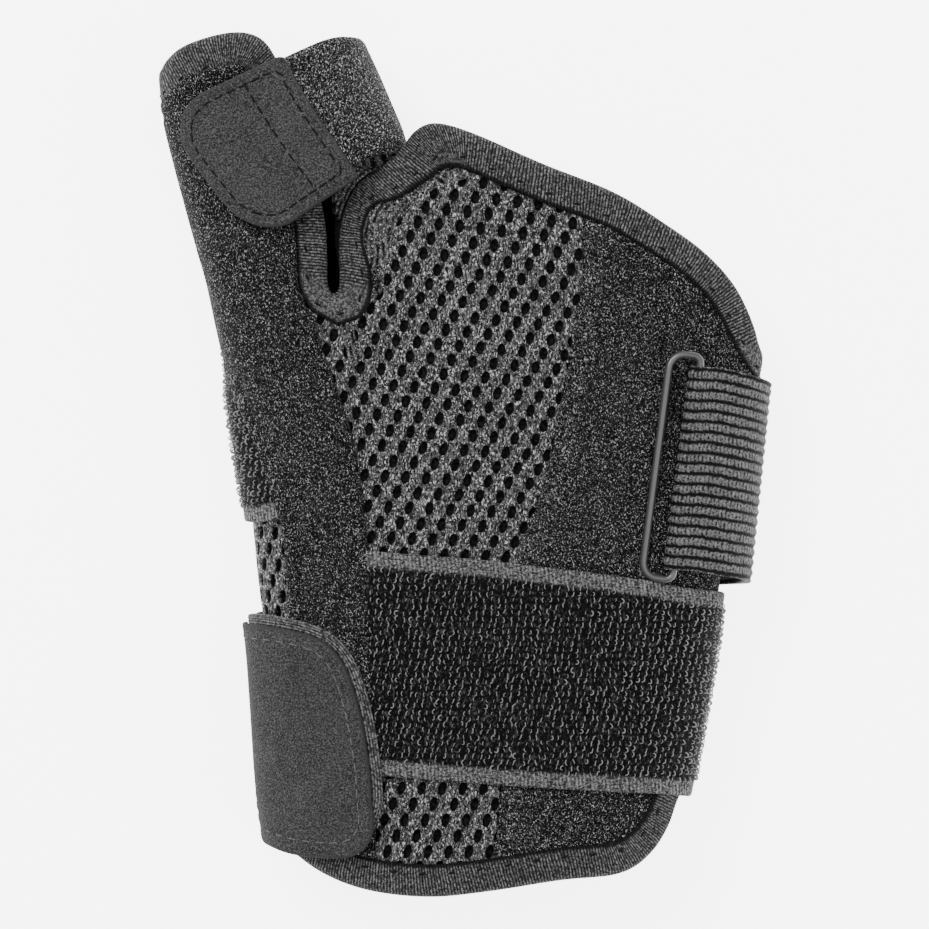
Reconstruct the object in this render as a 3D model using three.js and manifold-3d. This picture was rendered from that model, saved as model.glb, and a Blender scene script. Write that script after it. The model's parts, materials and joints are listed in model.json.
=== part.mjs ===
// Thumb spica splint, lying on its back as it rests empty.
// A flattened sleeve of spacer mesh and laminated velour takes the hand, and its thumb cradle leans to the
// left. A stay panel runs from the thumb tip to the wrist. A loop-pile strap goes round the wrist, a second
// one goes round the palm to a webbing loop with a wire ring, and a padded strap closes round the thumb.
// Millimetres. X runs across the hand, Y from the wrist to the fingers, Z up through the front.
import * as THREE from "three";
import { mergeVertices } from "three/addons/utils/BufferGeometryUtils.js";
import Module from "manifold-3d";

const wasm = await Module();
wasm.setup();
const { Manifold, CrossSection, Mesh } = wasm;

// Overall sizes
const splintLength = 195;
const splintWidth = 139.5;
const sleeveDepth = 31;
const thumbDepth = 25;

// Cloth thicknesses
const wallThickness = 3;
const bindingThickness = 0.9;
const stayPanelThickness = 2;
const strapThickness = 1.6;
const tabBackingThickness = 1;
const feltThickness = 1.2;
const thumbStrapThickness = 2.2;
const webbingThickness = 2.4;

// Strap and trim widths
const bindingWidth = 7.5;
const wristStrapWidth = 48;
const palmStrapWidth = 42;
const thumbStrapWidth = 27.5;
const wristFeltMargin = 2.3;
const thumbTabWidth = 29.5;
const thumbTabLength = 31;
const thumbTabCorner = 11;
const webbingWidth = 44;

// Wire ring, measured between wire centres
const ringWire = 1.7;
const ringLength = 50.5;
const ringWidth = 6.9;
const ringBareCorner = 3.5;
const ringHeldCorner = 1.6;
const webbingFoldRadius = 2.8; // outside, round the ring's other bar

// Clearances
const clearance = 0.3;
const thumbLift = 3;
const webbingRise = bindingThickness + 3 * clearance;

// Heights of the empty sleeve: a strap lies between its back and the surface that it rests on
const backHeight = clearance + strapThickness;
const crownShare = 0.45; // of a section's depth, where its widest line lies
const crownExponent = 2.6; // how square the front of a section is
const backExponent = 5; // and how square its back is
const backFlat = 0.3; // how much of the back's bulge is pressed flat

const pointsRound = 34;
const handStations = 13;
const thumbStations = 9;
const ringSides = 8;
const ringBendSteps = 5;
const foldSides = 12;
const largestDeparture = 0.05; // of a flat facet from the shape that it stands for
const farAway = 60; // past the sleeve on every side

// Hand sleeve: where its left and right sides lie along its length, and how deep it is
const handSections = [
  { along: -0.02, left: 0.21, right: 0.832, depth: 1 },
  { along: 0.06, left: 0.206, right: 0.842, depth: 1 },
  { along: 0.13, left: 0.195, right: 0.862, depth: 1 },
  { along: 0.225, left: 0.186, right: 0.886, depth: 1 },
  { along: 0.29, left: 0.179, right: 0.901, depth: 1.02 },
  { along: 0.36, left: 0.166, right: 0.914, depth: 1.04 },
  { along: 0.45, left: 0.153, right: 0.934, depth: 1.04 },
  { along: 0.53, left: 0.135, right: 0.958, depth: 1.02 },
  { along: 0.6, left: 0.127, right: 0.975, depth: 0.99 },
  { along: 0.68, left: 0.18, right: 0.993, depth: 0.95 },
  { along: 0.76, left: 0.25, right: 1.003, depth: 0.91 },
  { along: 0.84, left: 0.3, right: 1.007, depth: 0.87 },
  { along: 0.93, left: 0.345, right: 1.01, depth: 0.83 },
];

// Thumb cradle: the same, leaning to the left as it rises
const thumbSections = [
  { along: 0.5, left: 0.19, right: 0.4, depth: 0.98 },
  { along: 0.56, left: 0.15, right: 0.36, depth: 1.02 },
  { along: 0.64, left: 0.118, right: 0.32, depth: 1.04 },
  { along: 0.72, left: 0.093, right: 0.312, depth: 1.03 },
  { along: 0.8, left: 0.058, right: 0.345, depth: 1.01 },
  { along: 0.86, left: 0.032, right: 0.377, depth: 1 },
  { along: 0.92, left: 0.014, right: 0.35, depth: 0.97 },
  { along: 1.03, left: 0.005, right: 0.28, depth: 0.92 },
];

// Cut edges of the sleeve, seen from the front
const wristEdge = [
  { across: 0.06, along: 0.125 },
  { across: 0.135, along: 0.108 },
  { across: 0.178, along: 0.085 },
  { across: 0.212, along: 0.056 },
  { across: 0.269, along: 0.028 },
  { across: 0.345, along: 0.009 },
  { across: 0.445, along: 0.002 },
  { across: 0.545, along: 0.009 },
  { across: 0.656, along: 0.021 },
  { across: 0.75, along: 0.027 },
  { across: 0.8, along: 0.047 },
  { across: 0.831, along: 0.08 },
  { across: 0.848, along: 0.115 },
  { across: 0.872, along: 0.137 },
  { across: 0.94, along: 0.16 },
];
const fingerEdge = [
  { across: 1.12, along: 0.55 },
  { across: 1.03, along: 0.565 },
  { across: 0.988, along: 0.61 },
  { across: 0.971, along: 0.66 },
  { across: 0.941, along: 0.705 },
  { across: 0.891, along: 0.744 },
  { across: 0.827, along: 0.777 },
  { across: 0.743, along: 0.814 },
  { across: 0.625, along: 0.848 },
  { across: 0.515, along: 0.883 },
  { across: 0.452, along: 0.896 },
  { across: 0.418, along: 0.886 },
  { across: 0.398, along: 0.866 },
];
const slitHandSide = [
  { across: 0.365, along: 0.845 },
  { across: 0.33, along: 0.822 },
  { across: 0.308, along: 0.79 },
  { across: 0.3, along: 0.75 },
  { across: 0.298, along: 0.705 },
];
const slitThumbSide = [
  { across: 0.282, along: 0.705 },
  { across: 0.281, along: 0.749 },
  { across: 0.275, along: 0.79 },
  { across: 0.254, along: 0.848 },
  { across: 0.22, along: 0.918 },
  { across: 0.196, along: 0.972 },
];
const thumbTipEdge = [
  { across: 0.179, along: 0.99 },
  { across: 0.151, along: 0.999 },
  { across: 0.111, along: 0.998 },
  { across: 0.054, along: 0.987 },
  { across: 0.022, along: 0.974 },
  { across: 0.002, along: 0.955 },
  { across: -0.05, along: 0.925 },
];

// Round end of the slit between them
const slitEnd = [
  { across: 0.2955, along: 0.697 },
  { across: 0.29, along: 0.694 },
  { across: 0.2845, along: 0.697 },
];
// The back isn't slit: its edge runs from the hand to the thumb behind the thumb strap
const backWebEdge = [
  { across: 0.393, along: 0.857 },
  { across: 0.376, along: 0.852 },
  { across: 0.358, along: 0.857 },
  { across: 0.33, along: 0.872 },
  { across: 0.28, along: 0.9 },
  { across: 0.235, along: 0.935 },
  { across: 0.2, along: 0.97 },
];

// Stay panel: its left and right edges on the front, from the thumb down to the wrist
const stayRightEdge = [
  { across: 0.24, along: 0.7 },
  { across: 0.262, along: 0.656 },
  { across: 0.29, along: 0.598 },
  { across: 0.318, along: 0.54 },
  { across: 0.334, along: 0.481 },
  { across: 0.345, along: 0.411 },
  { across: 0.35, along: 0.341 },
  { across: 0.355, along: 0.225 },
  { across: 0.36, along: 0.03 },
];
const stayLeftEdge = [
  { across: 0.238, along: 0.03 },
  { across: 0.226, along: 0.225 },
  { across: 0.221, along: 0.324 },
  { across: 0.213, along: 0.411 },
  { across: 0.2, along: 0.452 },
  { across: 0.171, along: 0.516 },
  { across: 0.135, along: 0.586 },
  { across: 0.104, along: 0.654 },
  { across: -0.05, along: 0.66 },
];

// Seam between the mesh and the velour half of the sleeve, on the front and on the back
const frontSeam = [
  { across: 0.72, along: 1.05 },
  { across: 0.708, along: 0.735 },
  { across: 0.694, along: 0.656 },
  { across: 0.668, along: 0.551 },
  { across: 0.637, along: 0.458 },
  { across: 0.607, along: 0.396 },
  { across: 0.591, along: 0.248 },
  { across: 0.575, along: 0.12 },
  { across: 0.554, along: -0.05 },
];
const backSeam = [
  { across: 0.86, along: 1.05 },
  { across: 0.8, along: 0.5 },
  { across: 0.7, along: -0.05 },
];

// Centre lines of the straps, with their share of the strap's width
const wristFront = [
  { across: 0.3, along: 0.279, width: 1.05 },
  { across: 0.36, along: 0.272, width: 1.05 },
  { across: 0.56, along: 0.26, width: 1.02 },
  { across: 0.72, along: 0.25, width: 0.98 },
  { across: 0.9, along: 0.239, width: 0.92 },
  { across: 1.1, along: 0.232, width: 0.9 },
];
const wristBack = [
  { across: 1.1, along: 0.232, width: 0.9 },
  { across: 0.5, along: 0.22, width: 1 },
  { across: -0.1, along: 0.19, width: 0.98 },
];
const palmBack = [
  { across: 0.62, along: 0.508, width: 1 },
  { across: 0.35, along: 0.528, width: 1 },
  { across: -0.1, along: 0.556, width: 1 },
];
const palmFrontLowEdge = [
  { across: -0.1, along: 0.3 },
  { across: 0.155, along: 0.435 },
  { across: 0.217, along: 0.465 },
  { across: 0.3, along: 0.5 },
];
// The webbing's rise is from the ring's middle, in shares of its width
const webbingFront = [
  { across: 0.86, rise: -0.024, width: 1.08 },
  { across: 0.93, rise: -0.055, width: 1.03 },
  { across: 1.1, rise: -0.131, width: 1 },
];
const webbingBack = [
  { across: 1.1, rise: -0.131, width: 1 },
  { across: 0.5, rise: 0.069, width: 1 },
];
const thumbStrapLine = [
  { across: 0.005, along: 0.8, width: 1 },
  { across: 0.13, along: 0.8485, width: 1 },
  { across: 0.266, along: 0.908, width: 1.02 },
  { across: 0.365, along: 0.934, width: 0.86 },
  { across: 0.5, along: 0.968, width: 0.8 },
];

// Tab of the wrist strap: its outline runs past the left side, round which it wraps
const wristTabEdge = [
  { across: 0.129, along: 0.3205 },
  { across: 0.171, along: 0.3287 },
  { across: 0.233, along: 0.3228 },
  { across: 0.29, along: 0.3077 },
  { across: 0.3274, along: 0.2774 },
  { across: 0.3502, along: 0.2308 },
  { across: 0.3648, along: 0.1783 },
  { across: 0.373, along: 0.12 },
  { across: 0.368, along: 0.079 },
  { across: 0.3436, along: 0.0559 },
  { across: 0.3062, along: 0.0478 },
  { across: 0.2329, along: 0.0524 },
  { across: 0.1873, along: 0.0711 },
  { across: 0.1645, along: 0.1014 },
  { across: 0.1352, along: 0.1317 },
];

// Lines that end the straps
const thumbTabStart = { across: 0.26, along: 0.9 }; // middle of the felt tab's straight edge
const thumbTabOverlap = 10; // of the felt over the padded strap
const hookMargin = 2.5; // of the hook patch inside the felt's edge
const thumbStrapRoot = 0.1; // share of the width where it is sewn to the cradle's back
const palmJoin = 0.62; // share of the width where the palm strap meets the webbing on the back
const wristStrapRoot = 17; // height where the wrist strap ends on the left side
const wristTabRoot = 8; // and where the tab over it starts
const stayPanelRootHeight = 12; // how far the stay panel turns round the thumb's left side
const webbingFoldEdge = [
  { across: 0.94, along: 0.367 },
  { across: 0.972, along: 0.59 },
];
const ringAcross = 0.8085; // middle of the bar that lies bare
const ringOverStrap = 1.86; // from the wrist strap's far edge to the ring
const ringLean = 7.5; // degrees to the right of the sleeve's length

// Places and outlines

const place = ({ across, along }) => [across * splintWidth, along * splintLength];

const smoothPoints = (points, perSpan = 2) => {
  const curve = new THREE.SplineCurve(points.map((point) => new THREE.Vector2(...point)));
  return curve.getPoints(perSpan * (points.length - 1)).map((point) => point.toArray());
};

const smoothLine = (table) => smoothPoints(table.map(place));

const region = (outline) => new CrossSection([outline], "NonZero");
const leftOfAll = -farAway;
const rightOfAll = splintWidth + farAway;
const nearAll = -farAway;
const farAll = splintLength + farAway;

const rectangle = (left, right, near = nearAll, far = farAll) =>
  region([
    [left, near],
    [right, near],
    [right, far],
    [left, far],
  ]);

// A strip of cloth along a table's centre line, each row with its share of the full width
const strip = (table, fullWidth) => {
  const side = (sign) =>
    table.map((row, i) => {
      const before = place(table[Math.max(i - 1, 0)]);
      const after = place(table[Math.min(i + 1, table.length - 1)]);
      const step = [after[0] - before[0], after[1] - before[1]];
      const reach = (sign * row.width * fullWidth) / 2 / Math.hypot(...step);
      const [x, y] = place(row);
      return [x - reach * step[1], y + reach * step[0]];
    });
  return region([...smoothPoints(side(1)), ...smoothPoints(side(-1)).reverse()]);
};

const inset = (shape, distance) => shape.offset(-distance, "Miter", 2);
const outset = (shape, distance) => shape.offset(distance, "Miter", 2);

// Everything that an outline covers between two heights
const raised = (shape, low = -farAway, high = 2 * farAway) =>
  shape.extrude(high - low).translate([0, 0, low]);

// Value of a table's column at a share of the length, eased between its rows
const follow = (table, column, along) => {
  let i = 0;
  while (i < table.length - 2 && along > table[i + 1].along) i += 1;
  const slope = (k) => {
    const low = table[Math.max(k - 1, 0)];
    const high = table[Math.min(k + 1, table.length - 1)];
    return (high[column] - low[column]) / (high.along - low.along);
  };
  const span = table[i + 1].along - table[i].along;
  const t = (along - table[i].along) / span;
  return (
    table[i][column] * (1 + 2 * t) * (1 - t) ** 2 +
    slope(i) * span * t * (1 - t) ** 2 +
    table[i + 1][column] * t * t * (3 - 2 * t) +
    slope(i + 1) * span * t * t * (t - 1)
  );
};

// Tubes of cloth

const solidFrom = (positions, triangles) => {
  const geometry = new THREE.BufferGeometry();
  geometry.setAttribute("position", new THREE.Float32BufferAttribute(positions, 3));
  if (triangles) geometry.setIndex(triangles);
  const merged = mergeVertices(geometry, 1e-4);
  return new Manifold(
    new Mesh({
      numProp: 3,
      vertProperties: merged.attributes.position.array,
      triVerts: new Uint32Array(merged.index.array),
    }),
  );
};

const positionsOf = (geometry) => {
  const plain = geometry.index ? geometry.toNonIndexed() : geometry;
  return [...plain.attributes.position.array];
};

const sectionAt = (table, depth, bottom, along, sideRule) => ({
  y: along * splintLength,
  left: follow(table, "left", along) * splintWidth,
  right: sideRule ? sideRule(along) : follow(table, "right", along) * splintWidth,
  bottom: bottom - backFlat,
  top: bottom + follow(table, "depth", along) * depth,
});

// One ring of points round a section, grown in front and behind by a layer's distance from the wall
const sectionRing = (section, grow) => {
  const middle = (section.left + section.right) / 2;
  const halfWidth = (section.right - section.left) / 2 + (grow.front + grow.back) / 2;
  const waist = section.bottom + crownShare * (section.top - section.bottom);
  const ring = [];
  for (let i = 0; i < pointsRound; i += 1) {
    const angle = (2 * Math.PI * i) / pointsRound;
    const [c, s] = [Math.cos(angle), Math.sin(angle)];
    const exponent = s >= 0 ? crownExponent : backExponent;
    const height = s >= 0 ? section.top - waist + grow.front : waist - section.bottom + grow.back;
    const x = middle + halfWidth * Math.sign(c) * Math.abs(c) ** (2 / exponent);
    const z = waist + height * Math.sign(s) * Math.abs(s) ** (2 / exponent);
    ring.push([x, section.y, Math.max(z, waist - height + backFlat)]);
  }
  return ring;
};

const loft = (rings) => {
  const count = rings[0].length;
  const triangles = [];
  for (let k = 0; k + 1 < rings.length; k += 1)
    for (let i = 0; i < count; i += 1) {
      const [a, b] = [k * count + i, k * count + ((i + 1) % count)];
      const [c, d] = [a + count, b + count];
      triangles.push(a, c, b, b, c, d);
    }
  const last = (rings.length - 1) * count;
  for (let i = 1; i + 1 < count; i += 1) {
    triangles.push(0, i, i + 1);
    triangles.push(last, last + i + 1, last + i);
  }
  return solidFrom(rings.flat(2), triangles);
};

// A hollow runs past both ends of the solid that it is cut from
const tube = (table, depth, bottom, stations, grow, sideRule) => {
  const [first, last] = [table[0].along, table[table.length - 1].along];
  const rings = [];
  for (let k = 0; k < stations; k += 1) {
    const along = first + ((last - first) * k) / (stations - 1);
    const section = sectionAt(table, depth, bottom, along, sideRule);
    if (k === 0) section.y += grow.front;
    if (k === stations - 1) section.y -= grow.front;
    rings.push(sectionRing(section, grow));
  }
  return loft(rings);
};

const even = (grow) => ({ front: grow, back: grow });
const handTube = (grow, sideRule) =>
  tube(handSections, sleeveDepth, backHeight, handStations, grow, sideRule);
const thumbTube = (grow) =>
  tube(thumbSections, thumbDepth, backHeight + thumbLift, thumbStations, grow);
const glove = (grow) => handTube(even(grow)).add(thumbTube(even(grow)));

// A layer of cloth between two distances from the wall's outer face
const gloveLayer = (inner, outer) => glove(outer).subtract(glove(inner));
const handLayer = (inner, outer, sideRule) =>
  handTube(even(outer), sideRule).subtract(handTube(even(inner), sideRule));

const waistHeight = backHeight + crownShare * sleeveDepth;
const thumbWaist = backHeight + thumbLift + crownShare * thumbDepth;
const strapGap = 2 * clearance;

// A strap's outline in front and another behind, joined round the sides
const frontAndBack = (front, back, waist = waistHeight, grow = 0) =>
  raised(outset(front, grow), waist - clearance - grow).add(
    raised(outset(back, grow), -farAway, waist + grow),
  );

// Sleeve

const sleeveOutline = (openingLine) => {
  const wristLine = smoothLine(wristEdge);
  return region([
    [leftOfAll, wristLine[0][1]],
    ...wristLine,
    [rightOfAll, wristLine[wristLine.length - 1][1]],
    [rightOfAll, openingLine[0][1]],
    ...openingLine,
    [leftOfAll, openingLine[openingLine.length - 1][1]],
  ]);
};
const frontOutline = sleeveOutline([
  ...smoothLine([...fingerEdge, ...slitHandSide]),
  ...slitEnd.map(place),
  ...smoothLine([...slitThumbSide, ...thumbTipEdge]),
]);
const backOutline = sleeveOutline(smoothLine([...fingerEdge, ...backWebEdge, ...thumbTipEdge]));
const insideEdges = (distance) =>
  frontAndBack(inset(frontOutline, distance), inset(backOutline, distance));

const edgeFold = bindingThickness + clearance;
const besideBindings = inset(frontOutline, bindingWidth + 2 * clearance);
const wall = gloveLayer(-wallThickness, 0).intersect(insideEdges(edgeFold));

const rightOfSeam = (shift) => {
  const side = (table) =>
    region([
      ...smoothLine(table).map(([x, y]) => [x + shift, y]),
      [rightOfAll, nearAll],
      [rightOfAll, farAll],
    ]);
  return frontAndBack(side(frontSeam), side(backSeam));
};

const meshSleeve = () => wall.subtract(rightOfSeam(-clearance));
const velourPanel = () => wall.intersect(rightOfSeam(0));

// Bindings

const middleOfSleeve = 0.4 * splintLength;
const binding = (near, far) => {
  const tape = (outline) =>
    outline
      .subtract(inset(outline, bindingWidth))
      .intersect(rectangle(leftOfAll, rightOfAll, near, far));
  const groove = gloveLayer(-wallThickness - clearance, clearance);
  return gloveLayer(-wallThickness - edgeFold, edgeFold)
    .intersect(frontAndBack(tape(frontOutline), tape(backOutline)))
    .subtract(groove.intersect(insideEdges(bindingThickness)));
};

const wristFrontStrip = strip(wristFront, wristStrapWidth);
const wristBackStrip = strip(wristBack, wristStrapWidth);

const openingBinding = () => binding(middleOfSleeve, farAll);
const wristBinding = () =>
  binding(nearAll, middleOfSleeve).subtract(
    frontAndBack(wristFrontStrip, wristBackStrip, waistHeight, strapGap),
  );

// Stay panel

const stayRight = smoothLine(stayRightEdge);
const stayOutline = region([
  [leftOfAll, farAll],
  [0.3 * splintWidth, farAll],
  ...stayRight,
  ...smoothLine(stayLeftEdge),
  [leftOfAll, 0.66 * splintLength],
]);
const rightOfStay = region([...stayRight, [rightOfAll, nearAll], [rightOfAll, farAll]]);
const stayRoot = backHeight + stayPanelRootHeight;

const stayPanel = () =>
  gloveLayer(clearance, clearance + stayPanelThickness)
    .intersect(raised(stayOutline.intersect(besideBindings)))
    .trimByPlane([0, 0, 1], stayRoot);

const roundTheStay = () => raised(outset(stayOutline, strapGap), stayRoot - strapGap);

// Wrist strap and its tab

const wristStrap = () => {
  const band = handLayer(clearance, clearance + strapThickness);
  const frontLeft = raised(rectangle(leftOfAll, splintWidth / 2).subtract(rightOfStay), wristStrapRoot);
  return band
    .intersect(frontAndBack(wristFrontStrip, wristBackStrip))
    .subtract(frontLeft)
    .subtract(roundTheStay());
};

// A tab with two rounded corners at its free end
const roundedTab = (end, direction, length, width, corner) => {
  const box = CrossSection.square([length, width - 2 * corner]).translate([-length, corner - width / 2]);
  const nose = CrossSection.square([length - corner, width]).translate([-length, -width / 2]);
  const corners = [-1, 1].map((side) =>
    CrossSection.circle(corner, 20).translate([-corner, side * (width / 2 - corner)]),
  );
  return CrossSection.union([box, nose, ...corners])
    .rotate(THREE.MathUtils.radToDeg(Math.atan2(direction[1], direction[0])))
    .translate(end);
};

// The wrist tab comes round the left side from the back and lies over the stay panel
const wristTabLayer = (margin, inner, outer) => {
  const outline = inset(region(smoothLine(wristTabEdge)), margin);
  return handLayer(inner, outer).intersect(raised(outline, wristTabRoot));
};

const overFront = clearance + Math.max(stayPanelThickness, strapThickness) + clearance;
const overBacking = overFront + tabBackingThickness + clearance;
const wristTabBacking = () => wristTabLayer(0, overFront, overFront + tabBackingThickness);
const wristTabFelt = () => wristTabLayer(wristFeltMargin, overBacking, overBacking + feltThickness);

// Palm strap

const palmStrap = () => {
  const front = region([
    ...smoothLine(palmFrontLowEdge),
    [0.3 * splintWidth, 0.66 * splintLength],
    [leftOfAll, 0.66 * splintLength],
  ]).subtract(rightOfStay);
  const back = strip(palmBack, palmStrapWidth).intersect(
    rectangle(leftOfAll, palmJoin * splintWidth),
  );
  return gloveLayer(clearance, clearance + strapThickness)
    .intersect(frontAndBack(front, back))
    .subtract(roundTheStay());
};

// Ring, and the webbing that folds round its right bar

const webbingFold = (along) => {
  const [low, high] = webbingFoldEdge;
  const share = (along - low.along) / (high.along - low.along);
  const across = low.across + share * (high.across - low.across);
  return Math.max(across, follow(handSections, "right", along)) * splintWidth;
};

const frontHeight = ([x, y], grow) => {
  const section = sectionAt(handSections, sleeveDepth, backHeight, y / splintLength);
  const middle = (section.left + section.right) / 2;
  const halfWidth = (section.right - section.left) / 2 + grow;
  const waist = section.bottom + crownShare * (section.top - section.bottom);
  const share = Math.min(Math.abs(x - middle) / halfWidth, 0.999);
  return waist + (section.top - waist + grow) * (1 - share ** crownExponent) ** (1 / crownExponent);
};

// The ring stands just past the wrist strap, and the webbing keeps level with it
const betweenRows = (table, column, across) => {
  const next = table.findIndex((row) => row.across > across);
  const [low, high] = [table[next - 1], table[next]];
  const share = (across - low.across) / (high.across - low.across);
  return low[column] + share * (high[column] - low[column]);
};
const ringTurn = THREE.MathUtils.degToRad(ringLean);
const strapFarEdge =
  betweenRows(wristFront, "along", ringAcross) * splintLength +
  (betweenRows(wristFront, "width", ringAcross) * wristStrapWidth) / 2;
const ringMiddle = strapFarEdge + ringOverStrap + (ringLength / 2) * Math.cos(ringTurn);
const besideRing = (table) =>
  table.map(({ across, rise, width }) => ({
    across,
    along: (ringMiddle + rise * webbingWidth) / splintLength,
    width,
  }));

// Both bars lie on the sleeve's front: one bare, one held in the webbing's fold
const ringFrame = () => {
  const along = new THREE.Vector3(Math.sin(ringTurn), Math.cos(ringTurn), 0);
  const across = new THREE.Vector3(Math.cos(ringTurn), -Math.sin(ringTurn), 0);
  const [x, y] = [ringAcross * splintWidth, ringMiddle];
  const resting = (shift, grow) => {
    const middle = new THREE.Vector3(x, y, 0).addScaledVector(across, shift);
    const heights = [-1, 0, 1].map((side) => {
      const point = middle.clone().addScaledVector(along, (side * ringLength) / 3);
      return frontHeight([point.x, point.y], grow);
    });
    return middle.setZ(Math.max(...heights));
  };
  const bare = resting(0, clearance + ringWire / 2);
  const held = resting(ringWidth, clearance + webbingFoldRadius);
  return { bare, held, along };
};

// A round wire along a closed flat path
const wireLoop = (path, up) => {
  const rings = path.map((point, k) => {
    const before = path[(k + path.length - 1) % path.length];
    const after = path[(k + 1) % path.length];
    const come = point.clone().sub(before).normalize();
    const go = after.clone().sub(point).normalize();
    const side = come.clone().add(go).normalize().cross(up);
    const reach = ringWire / 2 / Math.cos(come.angleTo(go) / 2);
    return Array.from({ length: ringSides }, (_, i) => {
      const turn = (2 * Math.PI * (i + 0.5)) / ringSides;
      return point
        .clone()
        .addScaledVector(side, reach * Math.cos(turn))
        .addScaledVector(up, (ringWire / 2) * Math.sin(turn))
        .toArray();
    });
  });
  const triangles = [];
  const corner = (k, i) => (k % path.length) * ringSides + (i % ringSides);
  for (let k = 0; k < path.length; k += 1)
    for (let i = 0; i < ringSides; i += 1) {
      triangles.push(corner(k, i), corner(k + 1, i), corner(k, i + 1));
      triangles.push(corner(k, i + 1), corner(k + 1, i), corner(k + 1, i + 1));
    }
  return solidFrom(rings.flat(2), triangles);
};

const wireRing = () => {
  const { bare, held, along } = ringFrame();
  const middle = bare.clone().lerp(held, 0.5);
  const outward = held.clone().sub(bare).normalize();
  const [halfWidth, halfLength] = [bare.distanceTo(held) / 2, ringLength / 2];
  const path = [];
  const corners = [
    { side: 1, end: 1, radius: ringHeldCorner },
    { side: -1, end: 1, radius: ringBareCorner },
    { side: -1, end: -1, radius: ringBareCorner },
    { side: 1, end: -1, radius: ringHeldCorner },
  ];
  for (const { side, end, radius } of corners)
    for (let i = 0; i <= ringBendSteps; i += 1) {
      const share = side * end > 0 ? i / ringBendSteps : 1 - i / ringBendSteps;
      const turn = (Math.PI / 2) * share;
      path.push(
        middle
          .clone()
          .addScaledVector(outward, side * (halfWidth - radius + radius * Math.cos(turn)))
          .addScaledVector(along, end * (halfLength - radius + radius * Math.sin(turn))),
      );
    }
  return wireLoop(path, outward.clone().cross(along));
};

const barAlong = (from, to, radius) => {
  const span = to.clone().sub(from);
  const geometry = new THREE.CylinderGeometry(radius, radius, span.length(), foldSides);
  const up = new THREE.Vector3(0, 1, 0);
  geometry.applyQuaternion(new THREE.Quaternion().setFromUnitVectors(up, span.clone().normalize()));
  geometry.translate(...from.clone().lerp(to, 0.5).toArray());
  return solidFrom(positionsOf(geometry));
};

const ringWebbing = () => {
  const { held, along } = ringFrame();
  const onBar = (distance) => held.clone().addScaledVector(along, distance);
  const bore = ringWire / 2 + clearance;
  const reach = ringLength / 2 - ringHeldCorner - clearance;
  const fold = barAlong(onBar(-reach), onBar(reach), webbingFoldRadius);
  const hole = barAlong(onBar(-ringLength), onBar(ringLength), bore);
  const band = handLayer(webbingRise, webbingRise + webbingThickness, webbingFold);
  const backBand = handLayer(clearance, clearance + strapThickness, webbingFold);
  const front = strip(besideRing(webbingFront), webbingWidth);
  const back = strip(besideRing(webbingBack), palmStrapWidth).intersect(
    rectangle(palmJoin * splintWidth + clearance, rightOfAll),
  );
  return band
    .intersect(raised(front, waistHeight - clearance))
    .add(band.intersect(raised(back, backHeight, waistHeight)))
    .add(backBand.intersect(raised(back.intersect(besideBindings), -farAway, waistHeight)))
    .add(fold)
    .subtract(hole)
    .subtract(handTube(even(clearance)));
};

// Thumb strap: sewn to the cradle's back, round the thumb's right side, and over its front

const thumbStart = place(thumbStrapLine[0]);
const thumbEnd = place(thumbStrapLine[thumbStrapLine.length - 1]);
const thumbRun = [thumbEnd[0] - thumbStart[0], thumbEnd[1] - thumbStart[1]].map(
  (part, i, run) => part / Math.hypot(...run),
);
const fromThumbTab = (distance) =>
  place(thumbTabStart).map((coordinate, i) => coordinate - distance * thumbRun[i]);
const thumbTilt = THREE.MathUtils.radToDeg(Math.atan2(thumbRun[1], thumbRun[0]));

// All that lies to the left of a line across the strap
const pastTab = (distance) =>
  CrossSection.square([3 * farAway, 4 * farAway])
    .translate([-3 * farAway, -2 * farAway])
    .rotate(thumbTilt)
    .translate(fromThumbTab(distance));

const thumbGrow = (rise) => ({
  front: overFront + clearance + rise,
  back: edgeFold + clearance + rise,
});
const thumbLayer = (inner, outer) =>
  thumbTube(thumbGrow(outer)).subtract(thumbTube(thumbGrow(inner)));

const thumbStrap = () => {
  const band = strip(thumbStrapLine, thumbStrapWidth);
  const handBack = handTube(even(edgeFold + strapGap)).intersect(
    raised(outset(backOutline, strapGap), -farAway, thumbWaist),
  );
  return thumbLayer(0, thumbStrapThickness)
    .intersect(
      frontAndBack(
        band.subtract(pastTab(thumbTabOverlap)),
        band.subtract(rectangle(leftOfAll, thumbStrapRoot * splintWidth)),
        thumbWaist,
      ),
    )
    .subtract(handBack);
};

const thumbTab = () => {
  const outline = (margin) =>
    roundedTab(
      fromThumbTab(thumbTabLength - margin),
      thumbRun.map((part) => -part),
      thumbTabLength - margin,
      thumbTabWidth - 2 * margin,
      thumbTabCorner - margin,
    );
  const overStrap = thumbStrapThickness + clearance;
  const face = thumbLayer(overStrap, overStrap + feltThickness);
  const hooks = thumbLayer(0, overStrap + feltThickness / 2);
  return face
    .intersect(raised(outline(0), thumbWaist))
    .add(
      hooks.intersect(raised(outline(hookMargin).intersect(pastTab(thumbTabOverlap + clearance)), thumbWaist)),
    );
};

// Assembly

const cloth = (colour, roughness) =>
  new THREE.MeshStandardMaterial({ color: colour, roughness, metalness: 0 });

const meshOf = (name, solid, material) => {
  const { numProp, vertProperties, triVerts } = solid.simplify(largestDeparture).getMesh();
  const positions = new Float32Array((vertProperties.length / numProp) * 3);
  for (let i = 0; i < positions.length / 3; i += 1)
    positions.set(vertProperties.subarray(i * numProp, i * numProp + 3), i * 3);
  const geometry = new THREE.BufferGeometry();
  geometry.setAttribute("position", new THREE.BufferAttribute(positions, 3));
  geometry.setIndex(new THREE.BufferAttribute(triVerts, 1));
  const mesh = new THREE.Mesh(geometry, material);
  mesh.name = name;
  return mesh;
};

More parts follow.
